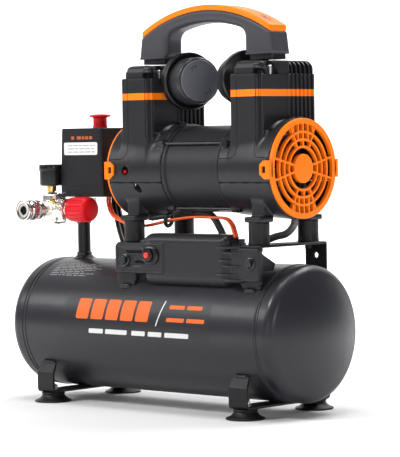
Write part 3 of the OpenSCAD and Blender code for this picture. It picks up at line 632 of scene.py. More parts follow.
label_orange = paint("label_orange", (0.82, 0.15, 0.03), 0.45, spec=0.2, grain=2000, mottle=0.05)
label_ink = paint("label_ink", (0.30, 0.30, 0.31), 0.5, grain=2000, mottle=0.05)
lens = glass("lens")
# near-black for the cowls' seam lines, and painted shade in the head screws' slots, the coupler throat and the
# capacitor case's vent slots
seam_and_shade_dark = paint("seam_and_shade_dark", (0.0022, 0.0022, 0.0022), 0.6, spec=0.13, grain=2000, mottle=0.05, wear=0.05)
dark_steel = paint("dark_steel", (0.16, 0.16, 0.17), 0.3, metal=0.9, grain=1500, mottle=0.15)
# darker orange: painted shade in the recesses, and on their rims, at the ends of the handle strip
orange_recess_shade = paint("orange_recess_shade", (0.70, 0.10, 0.008), 0.42, grain=2000, mottle=0.06)
shroud_plastic = paint(
    "shroud_plastic", (0.0143, 0.0143, 0.0176), 0.36, spec=0.28, grain=2200, grain_depth=0.00003,
    band=(0.3695, 0.3775, ORANGE)
)
nickel_dark = paint(
    "nickel_dark", (0.62, 0.60, 0.57), 0.2, metal=1, grain=1800, grain_depth=0.00002, mottle=0.15, wear=0.4,
    wear_colour=(0.9, 0.88, 0.84)
)
disc_satin = paint("disc_satin", (0.0992, 0.1008, 0.1197), 0.45, spec=0.30, grain=2600)
bolt_black = paint(
    "bolt_black", (0.045, 0.046, 0.05), 0.26, metal=0.85, grain=1500, mottle=0.2, wear=0.5,
    wear_colour=(0.35, 0.35, 0.36)
)
mark_rust = paint("mark_rust", (0.42, 0.10, 0.03), 0.5, spec=0.2, grain=2000, mottle=0.1)


# ---------------------------------------------------------------- tank, feet and brackets


def span(node):
    low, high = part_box(node)
    return np.array(low) / MM, np.array(high) / MM


def middle(node):
    low, high = span(node)
    return (low + high) / 2


ends_low, ends_high = span("tank_ends")
shell_low, shell_high = span("tank_shell")
TANK_R = (ends_high[2] - ends_low[2]) / 2
TANK_Z = (ends_high[2] + ends_low[2]) / 2
SEAM_X = shell_high[0]
TANK_END = ends_high[0]
CROWN_R, KNUCKLE_R = 181.0, 14.0
FLANGE_X = SEAM_X + 14
TANK_SEGMENTS = 160
CHECK_AT = (100, 0)
FRONT_REAR = (("front", -1), ("rear", 1))


def build_tank():
    wall = 2.0
    shell = lathe(
        [
            (TANK_R - wall, -SEAM_X), (TANK_R - 0.5, -SEAM_X), (TANK_R, -SEAM_X + 0.6), (TANK_R, SEAM_X - 0.6),
            (TANK_R - 0.5, SEAM_X), (TANK_R - wall, SEAM_X)
        ],
        TANK_SEGMENTS, looped=True
    )
    make_piece("tank_shell_skin", along(shell, "X").moved(z=TANK_Z), tank_paint, ["tank_shell"])

    meet = math.degrees(math.atan2(TANK_R - KNUCKLE_R, FLANGE_X - (TANK_END - CROWN_R)))
    outside = [
        (TANK_R - 0.8, SEAM_X + 0.1), (TANK_R, SEAM_X + 0.8), (TANK_R, SEAM_X + 3.4),
        (TANK_R - 0.9, SEAM_X + 4.0), (TANK_R - 0.9, SEAM_X + 5.2), (TANK_R, SEAM_X + 5.9)
    ]
    knuckle = arc(FLANGE_X, TANK_R - KNUCKLE_R, KNUCKLE_R, 90, meet, 14)
    crown = arc(TANK_END - CROWN_R, 0, CROWN_R, meet, 0, 22)
    inner_crown = arc(TANK_END - CROWN_R, 0, CROWN_R - wall, 0, meet, 12)
    inner_knuckle = arc(FLANGE_X, TANK_R - KNUCKLE_R, KNUCKLE_R - wall, meet, 90, 8)
    curve = knuckle + crown[1:] + inner_crown + inner_knuckle[1:]
    end = lathe(
        outside + [(r, h) for h, r in curve] + [(TANK_R - wall, SEAM_X + 0.1)], TANK_SEGMENTS, looped=True
    )
    right = along(end, "X").moved(z=TANK_Z)
    make_piece("tank_end_right", right, tank_paint, ["tank_ends"])
    make_piece("tank_end_left", right.turned(180, "Z"), tank_paint, ["tank_ends"])

    def ripple(turn, r, h):
        crest = max(0.0, r - TANK_R + 0.1)
        beads = crest * 0.16 * np.abs(np.sin(turn * 88))
        return beads + crest * 0.10 * np.sin(turn * 7 + 1) * np.sin(turn * 31)

    weld = lathe(
        [
            (TANK_R - 0.6, SEAM_X - 1.4), (TANK_R + 0.15, SEAM_X - 1.2), (TANK_R + 0.55, SEAM_X - 0.3),
            (TANK_R + 0.65, SEAM_X + 0.7), (TANK_R + 0.35, SEAM_X + 1.7), (TANK_R - 0.5, SEAM_X + 2.2)
        ],
        720, looped=True, ripple=ripple
    )
    ring = along(weld, "X").moved(z=TANK_Z)
    make_piece("tank_weld_right", ring, weld_paint, slot="tank_paint", sharp=80)
    make_piece("tank_weld_left", ring.turned(180, "Z"), weld_paint, slot="tank_paint", sharp=80)

    boss_top = shell_high[2]
    top, bottom = TANK_Z + TANK_R, TANK_Z - TANK_R
    flare = [
        (0, top - 7), (17, top - 5), (15.6, top - 1.2), (13.2, top + 0.6), (11.6, top + 1.2),
        (11, boss_top - 0.4), (10.6, boss_top), (0, boss_top)
    ]
    bosses = (
        ("riser", middle("riser_pipe"), 0), ("check", CHECK_AT, 0), ("safety", middle("safety_valve"), -2)
    )
    for name, (x, y, *_), lift in bosses:
        make_piece("boss_" + name, lathe(flare, 48).moved(x, y, lift), weld_paint, slot="tank_paint")
    low = shell_low[2]
    under = [
        (0, low), (10.4, low), (11, low + 0.5), (11.4, bottom - 0.6), (14.5, bottom + 1.2), (16, bottom + 5),
        (0, bottom + 7)
    ]
    x, y, _ = middle("drain_body")
    make_piece("boss_drain", lathe(under, 48).moved(x, y), weld_paint, slot="tank_paint")


def tank_patch(rows, lift, columns=24):
    """A thin skin on the tank: each row is (degrees down from the top on the front side, left X, right X)."""
    sheets = []
    for radius in (TANK_R + lift, TANK_R - 0.3):
        sheet = []
        for angle, x0, x1 in rows:
            a = math.radians(angle)
            for i in range(columns + 1):
                x = x0 + (x1 - x0) * i / columns
                sheet.append((x, -radius * math.sin(a), TANK_Z + radius * math.cos(a)))
        sheets.append(sheet)
    n, m = len(rows), columns + 1
    faces = []
    for j in range(n - 1):
        for i in range(columns):
            a = j * m + i
            faces.append((a, a + m, a + m + 1, a + 1))
            faces.append((n * m + a, n * m + a + 1, n * m + a + m + 1, n * m + a + m))
    rim = (
        [i for i in range(m)] + [j * m + m - 1 for j in range(1, n)] + [
            (n - 1) * m + i for i in range(m - 2, -1, -1)
        ] + [j * m for j in range(n - 2, 0, -1)]
    )
    for a, b in zip(rim, rim[1:] + rim[:1]):
        faces.append((a, b, b + n * m, a + n * m))
    return Shape(sheets[0] + sheets[1], faces)


def patch_bar(x0, x1, top, bottom, lift=0.22, lean=0.0, corner=0.0, columns=6):
    """A bar on the tank between two angles; lean shifts its top to the right, corner rounds it."""
    rows, steps = [], 10
    arc_mm = math.radians(bottom - top) * TANK_R
    for i in range(steps + 1):
        t = i / steps
        if corner:
            t = 0.5 - 0.5 * math.cos(math.pi * t)
        down = arc_mm * t
        near = min(down, arc_mm - down)
        pull = corner - math.sqrt(max(0, corner**2 - (corner - min(near, corner)) ** 2)) if corner else 0
        shift = lean * (1 - t)
        rows.append((top + (bottom - top) * t, x0 + pull + shift, x1 - pull + shift))
    return tank_patch(rows, lift, columns)


def build_labels():
    """A plain panel with blocks and bars where the tank carries its printing."""
    panel = patch_bar(-122, 119, 57.5, 101.5, lift=0.12, corner=5, columns=40)
    make_piece("label_panel", panel, label_grey, slot="tank_paint")
    blocks = [patch_bar(x, x + 21, 63.5, 81.5, lean=2.5, corner=2.0) for x in (-99, -74, -49, -24, 1)]
    words = [(54, 78, 66), (82, 106, 66), (52, 80, 77), (84, 112, 77)]
    blocks += [patch_bar(x0, x1, a, a + 3.4, lean=0.8, corner=1.2) for x0, x1, a in words]
    make_piece("label_blocks", joined(blocks), label_orange, slot="tank_paint")
    bars = [(-76, -52), (-48, -12), (-4, 18), (23, 45), (50, 88)]
    white = [patch_bar(x0, x1, 89.6, 93.6, lean=0.8, corner=1.2) for x0, x1 in bars]
    white.append(patch_bar(35, 36.6, 62.5, 84.5, lean=10))
    make_piece("label_bars", joined(white), label_white, slot="tank_paint")
    rng = random.Random(4)
    fine = []
    for row in range(8):
        angle = 22 + row * 2.5
        x = -172.0
        end = (-112, -96, -104, -92, -100, -118, -98, -108)[row]
        while x < end:
            length = rng.uniform(4, 15)
            fine.append(patch_bar(x, min(x + length, end), angle, angle + 0.75, lift=0.15, columns=2))
            x += length + 2.2
    make_piece("label_fine_lines", joined(fine), label_ink, slot="tank_paint")


def build_feet():
    straps_low, straps_high = span("foot_brackets")
    feet_high = span("rubber_feet")[1]
    foot_top = feet_high[2]
    foot_r = 23.0
    foot_x, foot_y = feet_high[0] - foot_r, feet_high[1] - foot_r
    half = straps_high[0] - foot_x
    side = straps_high[1] - 1.5
    low = straps_low[2] + 1.5
    line = [(-side + 6.5, 48.5), (-side, 36), (-side, low), (side, low), (side, 36), (side - 6.5, 48.5)]
    strap = across(prism(bent_strip(line, 3, 4), -half, half))
    rise = np.clip((strap.verts[:, 2] - 36) / 12, 0, 1)
    strap = Shape(strap.verts * np.column_stack([1 - 0.14 * rise, rise * 0 + 1, rise * 0 + 1]), strap.faces)
    for name, x in (("left", -foot_x), ("right", foot_x)):
        make_piece("foot_strap_" + name, strap.moved(x=x), bracket_paint, ["foot_brackets"], bevel=0.5)
        for end, y in FRONT_REAR:
            spot = y * (side - 6.0)
            line = bead(
                (x - half + 3.5, spot, 49.2), (x + half - 3.5, spot, 49.2), 2.3, 3.2, seed=int(x + y + 500)
            )
            make_piece(f"foot_weld_{name}_{end}", line, weld_paint, slot="bracket_paint", sharp=80)

    foot = lathe(
        [
            (3.3, 5), (7, 5), (7, 0.3), (7.6, 0), (21.6, 0), (22.8, 0.5), (foot_r, 1.3), (22.6, 2.1),
            (20.5, 2.9), (18, 4.0), (15.9, 5.6), (14.4, 7.4), (13.7, 8.8), (13.5, 9.4), (14.3, 9.8),
            (14.5, 10.4), (14.3, 11.2), (13.6, foot_top), (3.3, foot_top)
        ],
        56, looped=True
    )
    bolt = joined(
        [
            lathe([(0, 1), (5.2, 1), (5.5, 1.4), (5.5, 4.5), (5.1, 4.9), (3, 4.9), (3, 16), (0, 16)], 32),
            lathe([(0, 15), (7.4, 15), (7.6, 15.2), (7.6, 16.2), (7.4, 16.4), (0, 16.4)], 40),
            hexagon(10, 16.4, 20.6, 0.9), lathe([(0, 20), (3, 20), (3, 21.6), (2.5, 22.2), (0, 22.2)], 24)
        ]
    )
    for name, x, y in (
        ("front_left", -foot_x, -foot_y), ("front_right", foot_x, -foot_y), ("rear_left", -foot_x, foot_y),
        ("rear_right", foot_x, foot_y)
    ):
        make_piece("foot_" + name, foot.moved(x, y), foot_rubber, ["rubber_feet"], sharp=50)
        make_piece("foot_bolt_" + name, bolt.moved(x, y), zinc, ["foot_bolts"])


def build_drain():
    low, high = span("drain_body")
    x, y, _ = middle("drain_body")
    body = hexagon(17, low[2], high[2], 1.0)
    make_piece("drain_plug", body.moved(x, y), brass, ["drain_body"])
    screw_low = span("drain_screw")[0][2]
    stem = rod(3, screw_low + 1.5, 12.6, 24)
    wing = prism(round_rect(-9, 9, -1.5, 1.5, 1.4), screw_low, screw_low + 4)
    make_piece(
        "drain_key", (stem + wing).moved(x, y), brass, ["drain_screw"], body="drain_screw_body", bevel=0.4
    )


def build_brackets():
    low, high = span("top_brackets")
    half_w, reach, top, plate = 16.0, high[1], high[2], 3.0
    centres = (low[0] + half_w, high[0] - half_w)
    buffer_high = span("rubber_buffers")[1]
    buffer_y = buffer_high[1] - 13
    tongue = 150.0

    def field(x, y, z):
        outer = f_box(x, y, z, (-half_w, -reach, 100), (half_w, reach, top), 2.4)
        inner = f_box(x, y, z, (-half_w - 9, -reach + plate, 60), (half_w + 9, reach - plate, top - plate), 0.6)
        sheet = f_cut(outer, inner, 0.4)
        lug = np.maximum(
            np.maximum(np.abs(np.abs(x) - half_w + plate / 2) - plate / 2, np.abs(y) - reach + 0.2), y
        )
        ay = np.abs(y)
        slope = (z - 190 + (57 - ay) * 0.52) / 1.13
        edge = ((38 - ay) - (z - 170) * 0.5) / 1.12
        lug = f_meet(lug, np.maximum(np.maximum(slope, z - 190), np.maximum(edge, 170 - z)), 0.5)
        sheet = f_join(sheet, lug, 1.2)
        corner = (np.abs(x) - half_w + 9 + (tongue - z)) / 1.414
        sheet = f_meet(sheet, np.maximum(corner - 3, 100 - z), 0.8)
        wall = np.sqrt(y**2 + (z - TANK_Z) ** 2)
        sheet = f_cut(sheet, wall - TANK_R + 0.5)
        for hole_z, beyond in ((182, y + 50), (183, 50 - y)):
            hole = np.sqrt(x**2 + (z - hole_z) ** 2) - 3.3
            sheet = f_cut(sheet, np.maximum(hole, beyond), 0.3)
        stud = np.sqrt(x**2 + (ay - buffer_y) ** 2) - 4.2
        return f_cut(sheet, np.maximum(stud, 190 - z), 0.2)

    shape = from_field(field, (-half_w, -reach, 143), (half_w, reach, top), 1.0)
    profile = [
        (0, 191.6), (4, 191.6), (4, top - 0.1), (12.0, top), (12.6, top + 0.6), (12.6, top + 2.4),
        (12.2, top + 3.4), (12.1, top + 12.8), (12.2, buffer_high[2] - 2.6), (12.2, buffer_high[2] - 0.6),
        (11.8, buffer_high[2]), (0, buffer_high[2])
    ]
    buffer = lathe(profile, 56)
    for side, x in zip(("left", "right"), centres):
        make_piece("motor_bracket_" + side, shape.moved(x=x), bracket_paint, ["top_brackets"])
        for end, y in FRONT_REAR:
            make_piece(f"buffer_{end}_{side}", buffer.moved(x, y * buffer_y), foot_rubber, ["rubber_buffers"])
            run = bead(
                (x - 9, y * (reach + 0.9), 147.0), (x + 9, y * (reach + 0.9), 147.0), 3.4, 4.6,
                seed=int(x + 7 * y + 300)
            )
            hook = bead(
                (x + 11, y * (reach - 0.2), 149.0), (x + 15, y * (reach - 1.2), 153.6), 2.0, 3.0,
                seed=int(x + 9 * y + 300)
            )
            make_piece(f"bracket_weld_{end}_{side}", run + hook, weld_paint, slot="bracket_paint", sharp=80)


build_tank()
build_labels()
build_feet()
build_drain()
build_brackets()

# ---------------------------------------------------------------- motor, cowls, heads and handle

stator_low, stator_high = span("stator_core")
MOTOR_X = (stator_low[0] + stator_high[0]) / 2
MOTOR_Z = (stator_low[2] + stator_high[2]) / 2
COWL_IN, COWL_OUT, GRILLE_OUT = 45.5, 128.0, span("grille_right")[1][0] - MOTOR_X
BORE_X = 87.5
SHROUD_TOP = span("upper_cowl_right")[1][2] - MOTOR_Z
SEAM_Z = span("lower_cowls")[1][2] - MOTOR_Z
BARREL_R, BARREL_FLARE = 54.2, 0.0642
SHROUD_X, SHROUD_Y, SHROUD_CORNER = 23, 51.7, 68.7
TIE_R = 54.0
TIES = (35, 145, -59, 239)
PUMPS = (("right", 1), ("left", -1))
FILTER_AT, FILTER_TURN = (49, 2, 391), 160
COWL_HOLE = (-104.5, -2.0)


def at_motor(shape):
    return shape.moved(MOTOR_X, 0, MOTOR_Z)


def tie_spot(degrees):
    return TIE_R * math.cos(math.radians(degrees)), TIE_R * math.sin(math.radians(degrees))


def barrel_radius(out):
    return BARREL_R + (out - COWL_IN) * BARREL_FLARE


def shroud_distance(x, y, side, inset):
    """Distance outside the shroud's outline: square corners at -X, cut corners at +X, a sunk panel there."""
    u = x - side * BORE_X
    v = np.abs(y)
    flat = np.maximum(np.abs(u) - SHROUD_X + inset, v - SHROUD_Y + inset)
    cut = (u + v - SHROUD_CORNER + inset * 0.6) / 1.414
    return f_meet(flat, cut, 0.8) if inset == 0 else np.maximum(flat, cut)


def barrel_shell(x, y, z, side):
    out = x * side
    across = np.sqrt(y**2 + z**2) - barrel_radius(out) + 50
    outer = f_disc(across, out, 50, COWL_IN, COWL_OUT, 1.2)
    return outer, across - 50 + 2.5


def with_lugs(shell, out, y, z, ties, radius):
    for a in ties:
        ty, tz = tie_spot(a)
        lug = f_disc(np.sqrt((y - ty) ** 2 + (z - tz) ** 2), out, radius, COWL_IN, COWL_IN + 9, 1.2)
        shell = f_join(shell, lug, 3)
    return shell


def upper_cowl_field(side):
    def field(x, y, z):
        outer, inner = barrel_shell(x, y, z, side)
        shroud = f_meet(shroud_distance(x, y, side, 0), np.maximum(z - SHROUD_TOP, -z), 1.2)
        outer = f_join(outer, shroud, 5)
        u = x - side * BORE_X
        sunk = f_box(u, y, z, (21.4, -42.5, 44), (30, 1.5, SHROUD_TOP + 9), 1.0)
        outer = f_cut(outer, sunk, 1.2)
        ledge = f_box(u, y, z, (-30, -60, 50), (-21.8, 60, SHROUD_TOP + 9), 1.0)
        outer = f_cut(outer, ledge, 1.0)
        space = f_join(inner, np.maximum(shroud_distance(x, y, side, 2.6), -z), 4)
        shell = f_cut(outer, space, 0.5)
        shell = with_lugs(shell, x * side, y, z, TIES[:2], 4.6)
        hole = np.maximum(np.sqrt((x * side - 101) ** 2 + (z + 0.4) ** 2) - 5.2, 30 - y * side)
        shell = f_cut(shell, hole, 0.8)
        return f_meet(shell, SEAM_Z + 0.12 - z, 0.7)

    return field


def lower_cowl_field(side):
    def field(x, y, z):
        outer, inner = barrel_shell(x, y, z, side)
        out, ay = x * side, np.abs(y)
        drop = span("rubber_buffers")[1][2] - MOTOR_Z
        foot = f_box(out, ay, z, (90, 28, drop + 2), (109, 46, drop + 26), 2)
        plate = f_box(out, ay, z, (87, 32, drop), (112, 55.5, drop + 6.4), 1.6)
        outer = f_join(outer, f_join(foot, plate, 2), 3)
        shell = f_cut(outer, inner, 0.4)
        shell = with_lugs(shell, out, y, z, TIES[2:], 4.4)
        t = np.clip(((out - 84.5) * -0.55 + (z + 22) * -0.83) / 13, 0, 1)
        slot = np.sqrt((out - 85.5 + t * 4) ** 2 + (z + 20.5 + t * 6) ** 2) - 4.4
        slot = np.maximum(slot, 20 - y * side)
        shell = f_cut(shell, slot, 0.8)
        return f_meet(shell, z - SEAM_Z + 0.12, 0.7)

    return field


def on_front(field, x, z, start=-64.0):
    """The Y where a line from the front first meets the field's surface."""
    y = np.arange(start, -5, 0.25)
    value = field(x + 0 * y, y, z + 0 * y)
    hit = np.argmax(value < 0)
    return float(y[hit]) if value[hit] < 0 else None


def front_seam(field, points, steps=8):
    path = []
    for x, _, z in catmull([(x, 0, z) for x, z in points], steps):
        y = on_front(field, x, z)
        if y is not None:
            path.append((x, y + 0.05, z))
    return tube(path, 0.42, 6, side=(0.3, 1, 0.2))


def build_cowls():
    for name, side in PUMPS:
        field = upper_cowl_field(side)
        x0, x1 = sorted((side * COWL_IN, side * COWL_OUT))
        upper = from_field(field, (x0, -62, SEAM_Z), (x1, 62, SHROUD_TOP), 1.4)
        make_piece(
            "upper_cowl_" + name, at_motor(upper), shroud_plastic, ["upper_cowl_" + name], "cowl_plastic",
            sharp=42, thin=0.5
        )
        lower = from_field(lower_cowl_field(side), (x0, -62, -62), (x1, 62, SEAM_Z), 1.4)
        make_piece("lower_cowl_" + name, at_motor(lower), cowl_plastic, ["lower_cowls"], sharp=42, thin=0.5)

        u = side * BORE_X
        rib = prism([(u + 21, -1.9), (u + 25, -1.5), (u + 25, 1.5), (u + 21, 1.9)], 26, SHROUD_TOP)
        ribs = joined([rib.moved(y=6 + i * 7.2) for i in range(6)])
        make_piece("shroud_ribs_" + name, at_motor(ribs), shroud_plastic, slot="cowl_plastic", bevel=0.5)

        left_end = COWL_IN + 1 if side > 0 else 1 - COWL_OUT
        left_line = [
            (u - 12.3, SHROUD_TOP - 0.5), (u - 12.3, 70), (u - 12.3, 34), (u - 13.2, 21), (u - 16.5, 15.5)
        ]
        left_line += [(u - 22, 13), (u - 30, 12.8), (u - 36, 12.8), (left_end, 12.8)]
        right_line = [(u + 16.5, SHROUD_TOP - 0.5), (u + 16.5, 70)]
        if side > 0:
            right_line += [(u + 16.2, 40), (u + 15, 28), (u + 16.2, 19), (u + 20, 14.5), (u + 27, 13.6)]
            right_line += [(u + 34, 13.4), (COWL_OUT - 1, 13.2)]
        else:
            right_line += [(u + 16.5, 45), (u + 17, 38)]
        seams = front_seam(field, left_line) + front_seam(field, right_line)
        split = [(side * (COWL_IN + 1), SEAM_Z), (side * 90, SEAM_Z), (side * (COWL_OUT - 1), SEAM_Z)]
        seams = seams + front_seam(lambda x, y, z: barrel_shell(x, y, z, side)[0], split)
        make_piece("cowl_seams_" + name, at_motor(seams), seam_and_shade_dark, slot="cowl_plastic")


def build_stator():
    half = (stator_high[0] - stator_low[0]) / 2
    r = (stator_high[2] - stator_low[2]) / 2
    outline = [
        (r - 9, -half - 0.8), (r + 1.2, -half - 0.8), (r + 2.2, -half), (r + 2.2, -half + 3.4),
        (r + 1.2, -half + 4.4), (r, -half + 5), (r, half - 5), (r + 1.2, half - 4.4), (r + 2.2, half - 3.4),
        (r + 2.2, half), (r + 1.2, half + 0.8), (r - 9, half + 0.8)
    ]
    shell = lathe(outline, 120, looped=True)
    make_piece("stator_jacket", at_motor(along(shell, "X")), stator_paint, ["stator_core"])
    rods, heads = [], []
    for a in TIES:
        y, z = tie_spot(a)
        rods.append(along(rod(1.9, -57, 57, 16), "X").moved(0, y, z))
        heads.append(along(hexagon(7.6, 54.5, 59, 0.8), "X").moved(0, y, z))
        heads.append(along(hexagon(7.6, -58.5, -54.5, 0.8), "X").moved(0, y, z))
    make_piece("tie_rods", at_motor(joined(rods)), bolt_black, ["tie_bolts"], "steel")
    make_piece("tie_nuts", at_motor(joined(heads)), bolt_black, slot="steel")
    y, z = tie_spot(TIES[1])
    clip = prism(round_rect(49, 58, z - 5, z + 5, 1.5), 0, 2.2)
    wing = prism(round_rect(56, 66, z + 2, z + 5.2, 1.2), 0, 2.2)
    make_piece(
        "tie_clip", at_motor(upright(clip + wing).moved(y=y - 6.4)), black_cable, slot="steel", bevel=0.4
    )


def build_grilles():
    depth = GRILLE_OUT - COWL_OUT
    top = depth
    bars = []

    def ring(outer, inner, low, high):
        edge = 0.5
        return lathe(
            [
                (inner, low), (outer, low), (outer, high - edge), (outer - edge, high), (inner + edge, high),
                (inner, high - edge)
            ],
            96, looped=True
        )

    bars.append(ring(57.9, 51.6, -1.2, top))
    for r in (42.2, 33.4, 25.0):
        bars.append(ring(r + 1.35, r - 1.35, -1.2, top - 0.3))
    bars.append(
        lathe([(0, -1.5), (16.8, -1.5), (16.8, top - 0.7), (16.1, top), (12, top + 0.25), (0, top + 0.35)], 64)
    )

    def spoke(degrees, r0, r1, half=1.15):
        bar = slab(r0, r1, -half, half, -1.2, top - 0.4)
        return bar.turned(degrees, "Z")

    for side in (0, 180):
        bars += [spoke(side + 14, 16, 52.5), spoke(side - 14, 16, 52.5)]
        for lean in (-24, 24):
            bars.append(spoke(side + 90 + lean, 25, 52.5))
        sign = 1 if side == 0 else -1
        rows = ((41.6, 52.6, (0, 8.6, -8.6, 17, -17)), (33, 42.4, (0, 8.6, -8.6)), (24.6, 33.6, (0,)))
        for r0, r1, places in rows:
            for x in places:
                a, b = math.sqrt(r0**2 - x**2), math.sqrt(r1**2 - x**2)
                bar = slab(x - 1.1, x + 1.1, a, b, -1.2, top - 0.4)
                bars.append(bar if sign > 0 else bar.turned(180, "Z"))
    face = joined(bars)
    v = face.verts
    turned = Shape(np.column_stack([v[:, 2] + COWL_OUT, v[:, 0], v[:, 1]]), face.faces)

    def tab(x, y, z):
        sheet = f_box(x, y, z, (-11.5, 59.0, -11.2), (depth, 61.8, 10.2), 0.8)
        corner = (np.abs(z) - x * 0.8 - 14.6) / 1.28
        sheet = f_meet(sheet, corner, 0.5)
        root = f_box(x, y, z, (-0.5, 54, -10.5), (depth, 61, 9.8), 0.8)
        sheet = f_join(sheet, root, 0.8)
        return f_cut(sheet, f_box(x, y, z, (-7.8, 50, -3.9), (-2.4, 70, 3.7), 0.6), 0.4)

    tab_shape = from_field(tab, (-12, 53, -12), (depth, 63, 11), 0.7).moved(x=COWL_OUT)
    both = tab_shape + Shape(tab_shape.verts * [1, -1, 1], [f[::-1] for f in tab_shape.faces])
    for name, side in PUMPS:
        turn = 0 if side > 0 else 180
        make_piece("grille_" + name, at_motor(turned.turned(turn, "Z")), orange_plastic, ["grille_" + name])
        make_piece("grille_tabs_" + name, at_motor(both.turned(turn, "Z")), orange_plastic, thin=0.5)


def head_field(x, y, z):
    """One cylinder head: x from its bore, z from its foot."""
    body = f_box(x, y, z, (-20, -47.3, -0.3), (20, 47.2, 35), 2.0)
    corner = f_box(x, y * 0, z, (-20, -99, -60), (60, 99, 35), 10.5)
    body = f_meet(body, corner, 0.5)
    ridge_shelf = f_box(x, y, z, (-30, -60, 27.0), (30, -22, 60), 2)
    body = f_cut(body, ridge_shelf, 2)
    block = f_box(x, y, z, (-20, -47.3, 14), (16.0, -36, 34.6), 6.0)
    block = f_meet(block, corner, 0.8)
    body = f_join(body, block, 2.5)
    fins_space = f_box(x, y, z, (6, 4.8, 6), (30, 60, 60), 1.5)
    body = f_cut(body, fins_space, 1.0)
    hollow = f_box(x, y, z, (9.5, -60, 8), (30, -37.5, 25.5), 1.5)
    body = f_cut(body, hollow, 1.2)
    bump = np.sqrt((x - 15) ** 2 + (y + 40.5) ** 2 + (z - 29.0) ** 2) - 5.2
    body = f_join(body, bump, 2.5)
    notch = f_box(x, y, z, (8, -34, 16), (30, -15, 60), 1.2)
    body = f_cut(body, notch, 1.0)
    dome = f_box(x, y, z, (2, -14.5, 0), (20, 4.6, 35), 4.0)
    side_corner = f_box(x, y * 0, z, (-60, -99, -60), (20, 99, 35.2), 10.5)
    return f_join(body, f_meet(dome, side_corner, 1), 1.5)


def build_heads():
    low, high = span("cylinder_heads")
    foot = low[2]
    shape = from_field(head_field, (-20, -48, -1), (20, 48, 35.5), 1.0)
    fin_side = (
        [(-17, 5), (20, 5)]
        + arc(20 - 10.5, high[2] - foot - 1.9 - 10.5, 10.5, 0, 90, 9)
        + arc(-17 + 6, high[2] - foot - 1.9 - 6, 6, 90, 180, 5)
    )
    fins = joined(
        [upright(prism(fin_side, -1.35, 1.35)).moved(y=y) for y in (9.6, 17.4, 25.2, 33.0, 40.8, 45.8)]
    )
    screw = lathe([(0, 15), (2.9, 15), (2.9, 28.6), (2.3, 29.2), (0, 29.2)], 28)
    # a near-black sheet on top of each screw head: painted shade where its slot is
    screw_slot_shade = slab(-2.6, 2.6, -0.35, 0.35, 29.0, 29.35)
    for name, side in PUMPS:
        x = MOTOR_X + side * BORE_X
        make_piece("head_" + name, shape.moved(x, 0, foot), head_black, ["cylinder_heads"], sharp=42, thin=0.5)
        make_piece("head_fins_" + name, fins.moved(x, 0, foot), head_black, bevel=0.45)
        make_piece("head_screw_" + name, screw.moved(x + 14, -23, foot), steel)
        make_piece("head_screw_slot_" + name, screw_slot_shade.moved(x + 14, -23, foot), seam_and_shade_dark, slot="steel")


def build_head_bolts():
    bolt = lathe(
        [(0, 0), (2.2, 0), (2.2, 19), (4.6, 19), (4.6, 19.8), (0, 19.8)], 24
    ) + hexagon(6.4, 19.6, 23.4, 0.6)
    low = span("cylinder_heads")[0]
    bolts = []
    for _, side in PUMPS:
        for y in (-34, 20):
            for x in (-14, 14):
                bolts.append(bolt.moved(MOTOR_X + side * (BORE_X + x), side * y, low[2]))
    make_piece("head_bolt_set", joined(bolts), dark_steel, ["head_bolts"], "steel")


def build_filters():
    flange = lathe(
        [
            (0, 0), (32.5, 0), (34.2, 0.8), (34.5, 1.6), (34.5, 9.8), (34.0, 10.6), (32.6, 11), (31.6, 10.4),
            (31.2, 8.6), (29.2, 7.4), (0, 7.2)
        ],
        96
    )
    stem = lathe([(0, -23), (8.6, -23), (9, -22), (9, -2), (10.5, 0), (0, 0.4)], 40)
    cap = lathe(
        [
            (0, 7.2), (27.8, 7.2), (27.8, 31.6), (27.3, 33.0), (26.2, 34.0), (25.9, 33.9), (25.6, 33.4),
            (25.2, 33.4), (0, 33.4)
        ],
        96
    )
    disc = lathe([(0, 33.2), (24.9, 33.2), (24.9, 34.8), (24.4, 35.6), (23.4, 36), (0, 36)], 96)
    marks = []
    for turn in (38, 208):
        for r0, r1, y0, y1 in ((15, 18.5, -3.6, -3.0), (15, 18.5, 3.0, 3.6), (17.9, 18.5, -3.6, 3.6)):
            marks.append(slab(r0, r1, y0, y1, 35.9, 36.25).turned(turn, "Z"))
    for name, side in PUMPS:
        def place(s):
            x, y, z = FILTER_AT
            s = along(s, "X").turned(FILTER_TURN, "Z").moved(x, y, z - MOTOR_Z)
            return at_motor(s if side > 0 else s.turned(180, "Z"))

        make_piece(
            "filter_base_" + name, place(flange + stem), ring_plastic, ["filter_bases"], "filter_plastic"
        )
        make_piece("filter_cap_" + name, place(cap), filter_plastic, ["filter_caps"])
        make_piece("filter_disc_" + name, place(disc), disc_satin, slot="filter_plastic")
        make_piece("filter_marks_" + name, place(joined(marks)), ring_plastic, slot="filter_plastic")


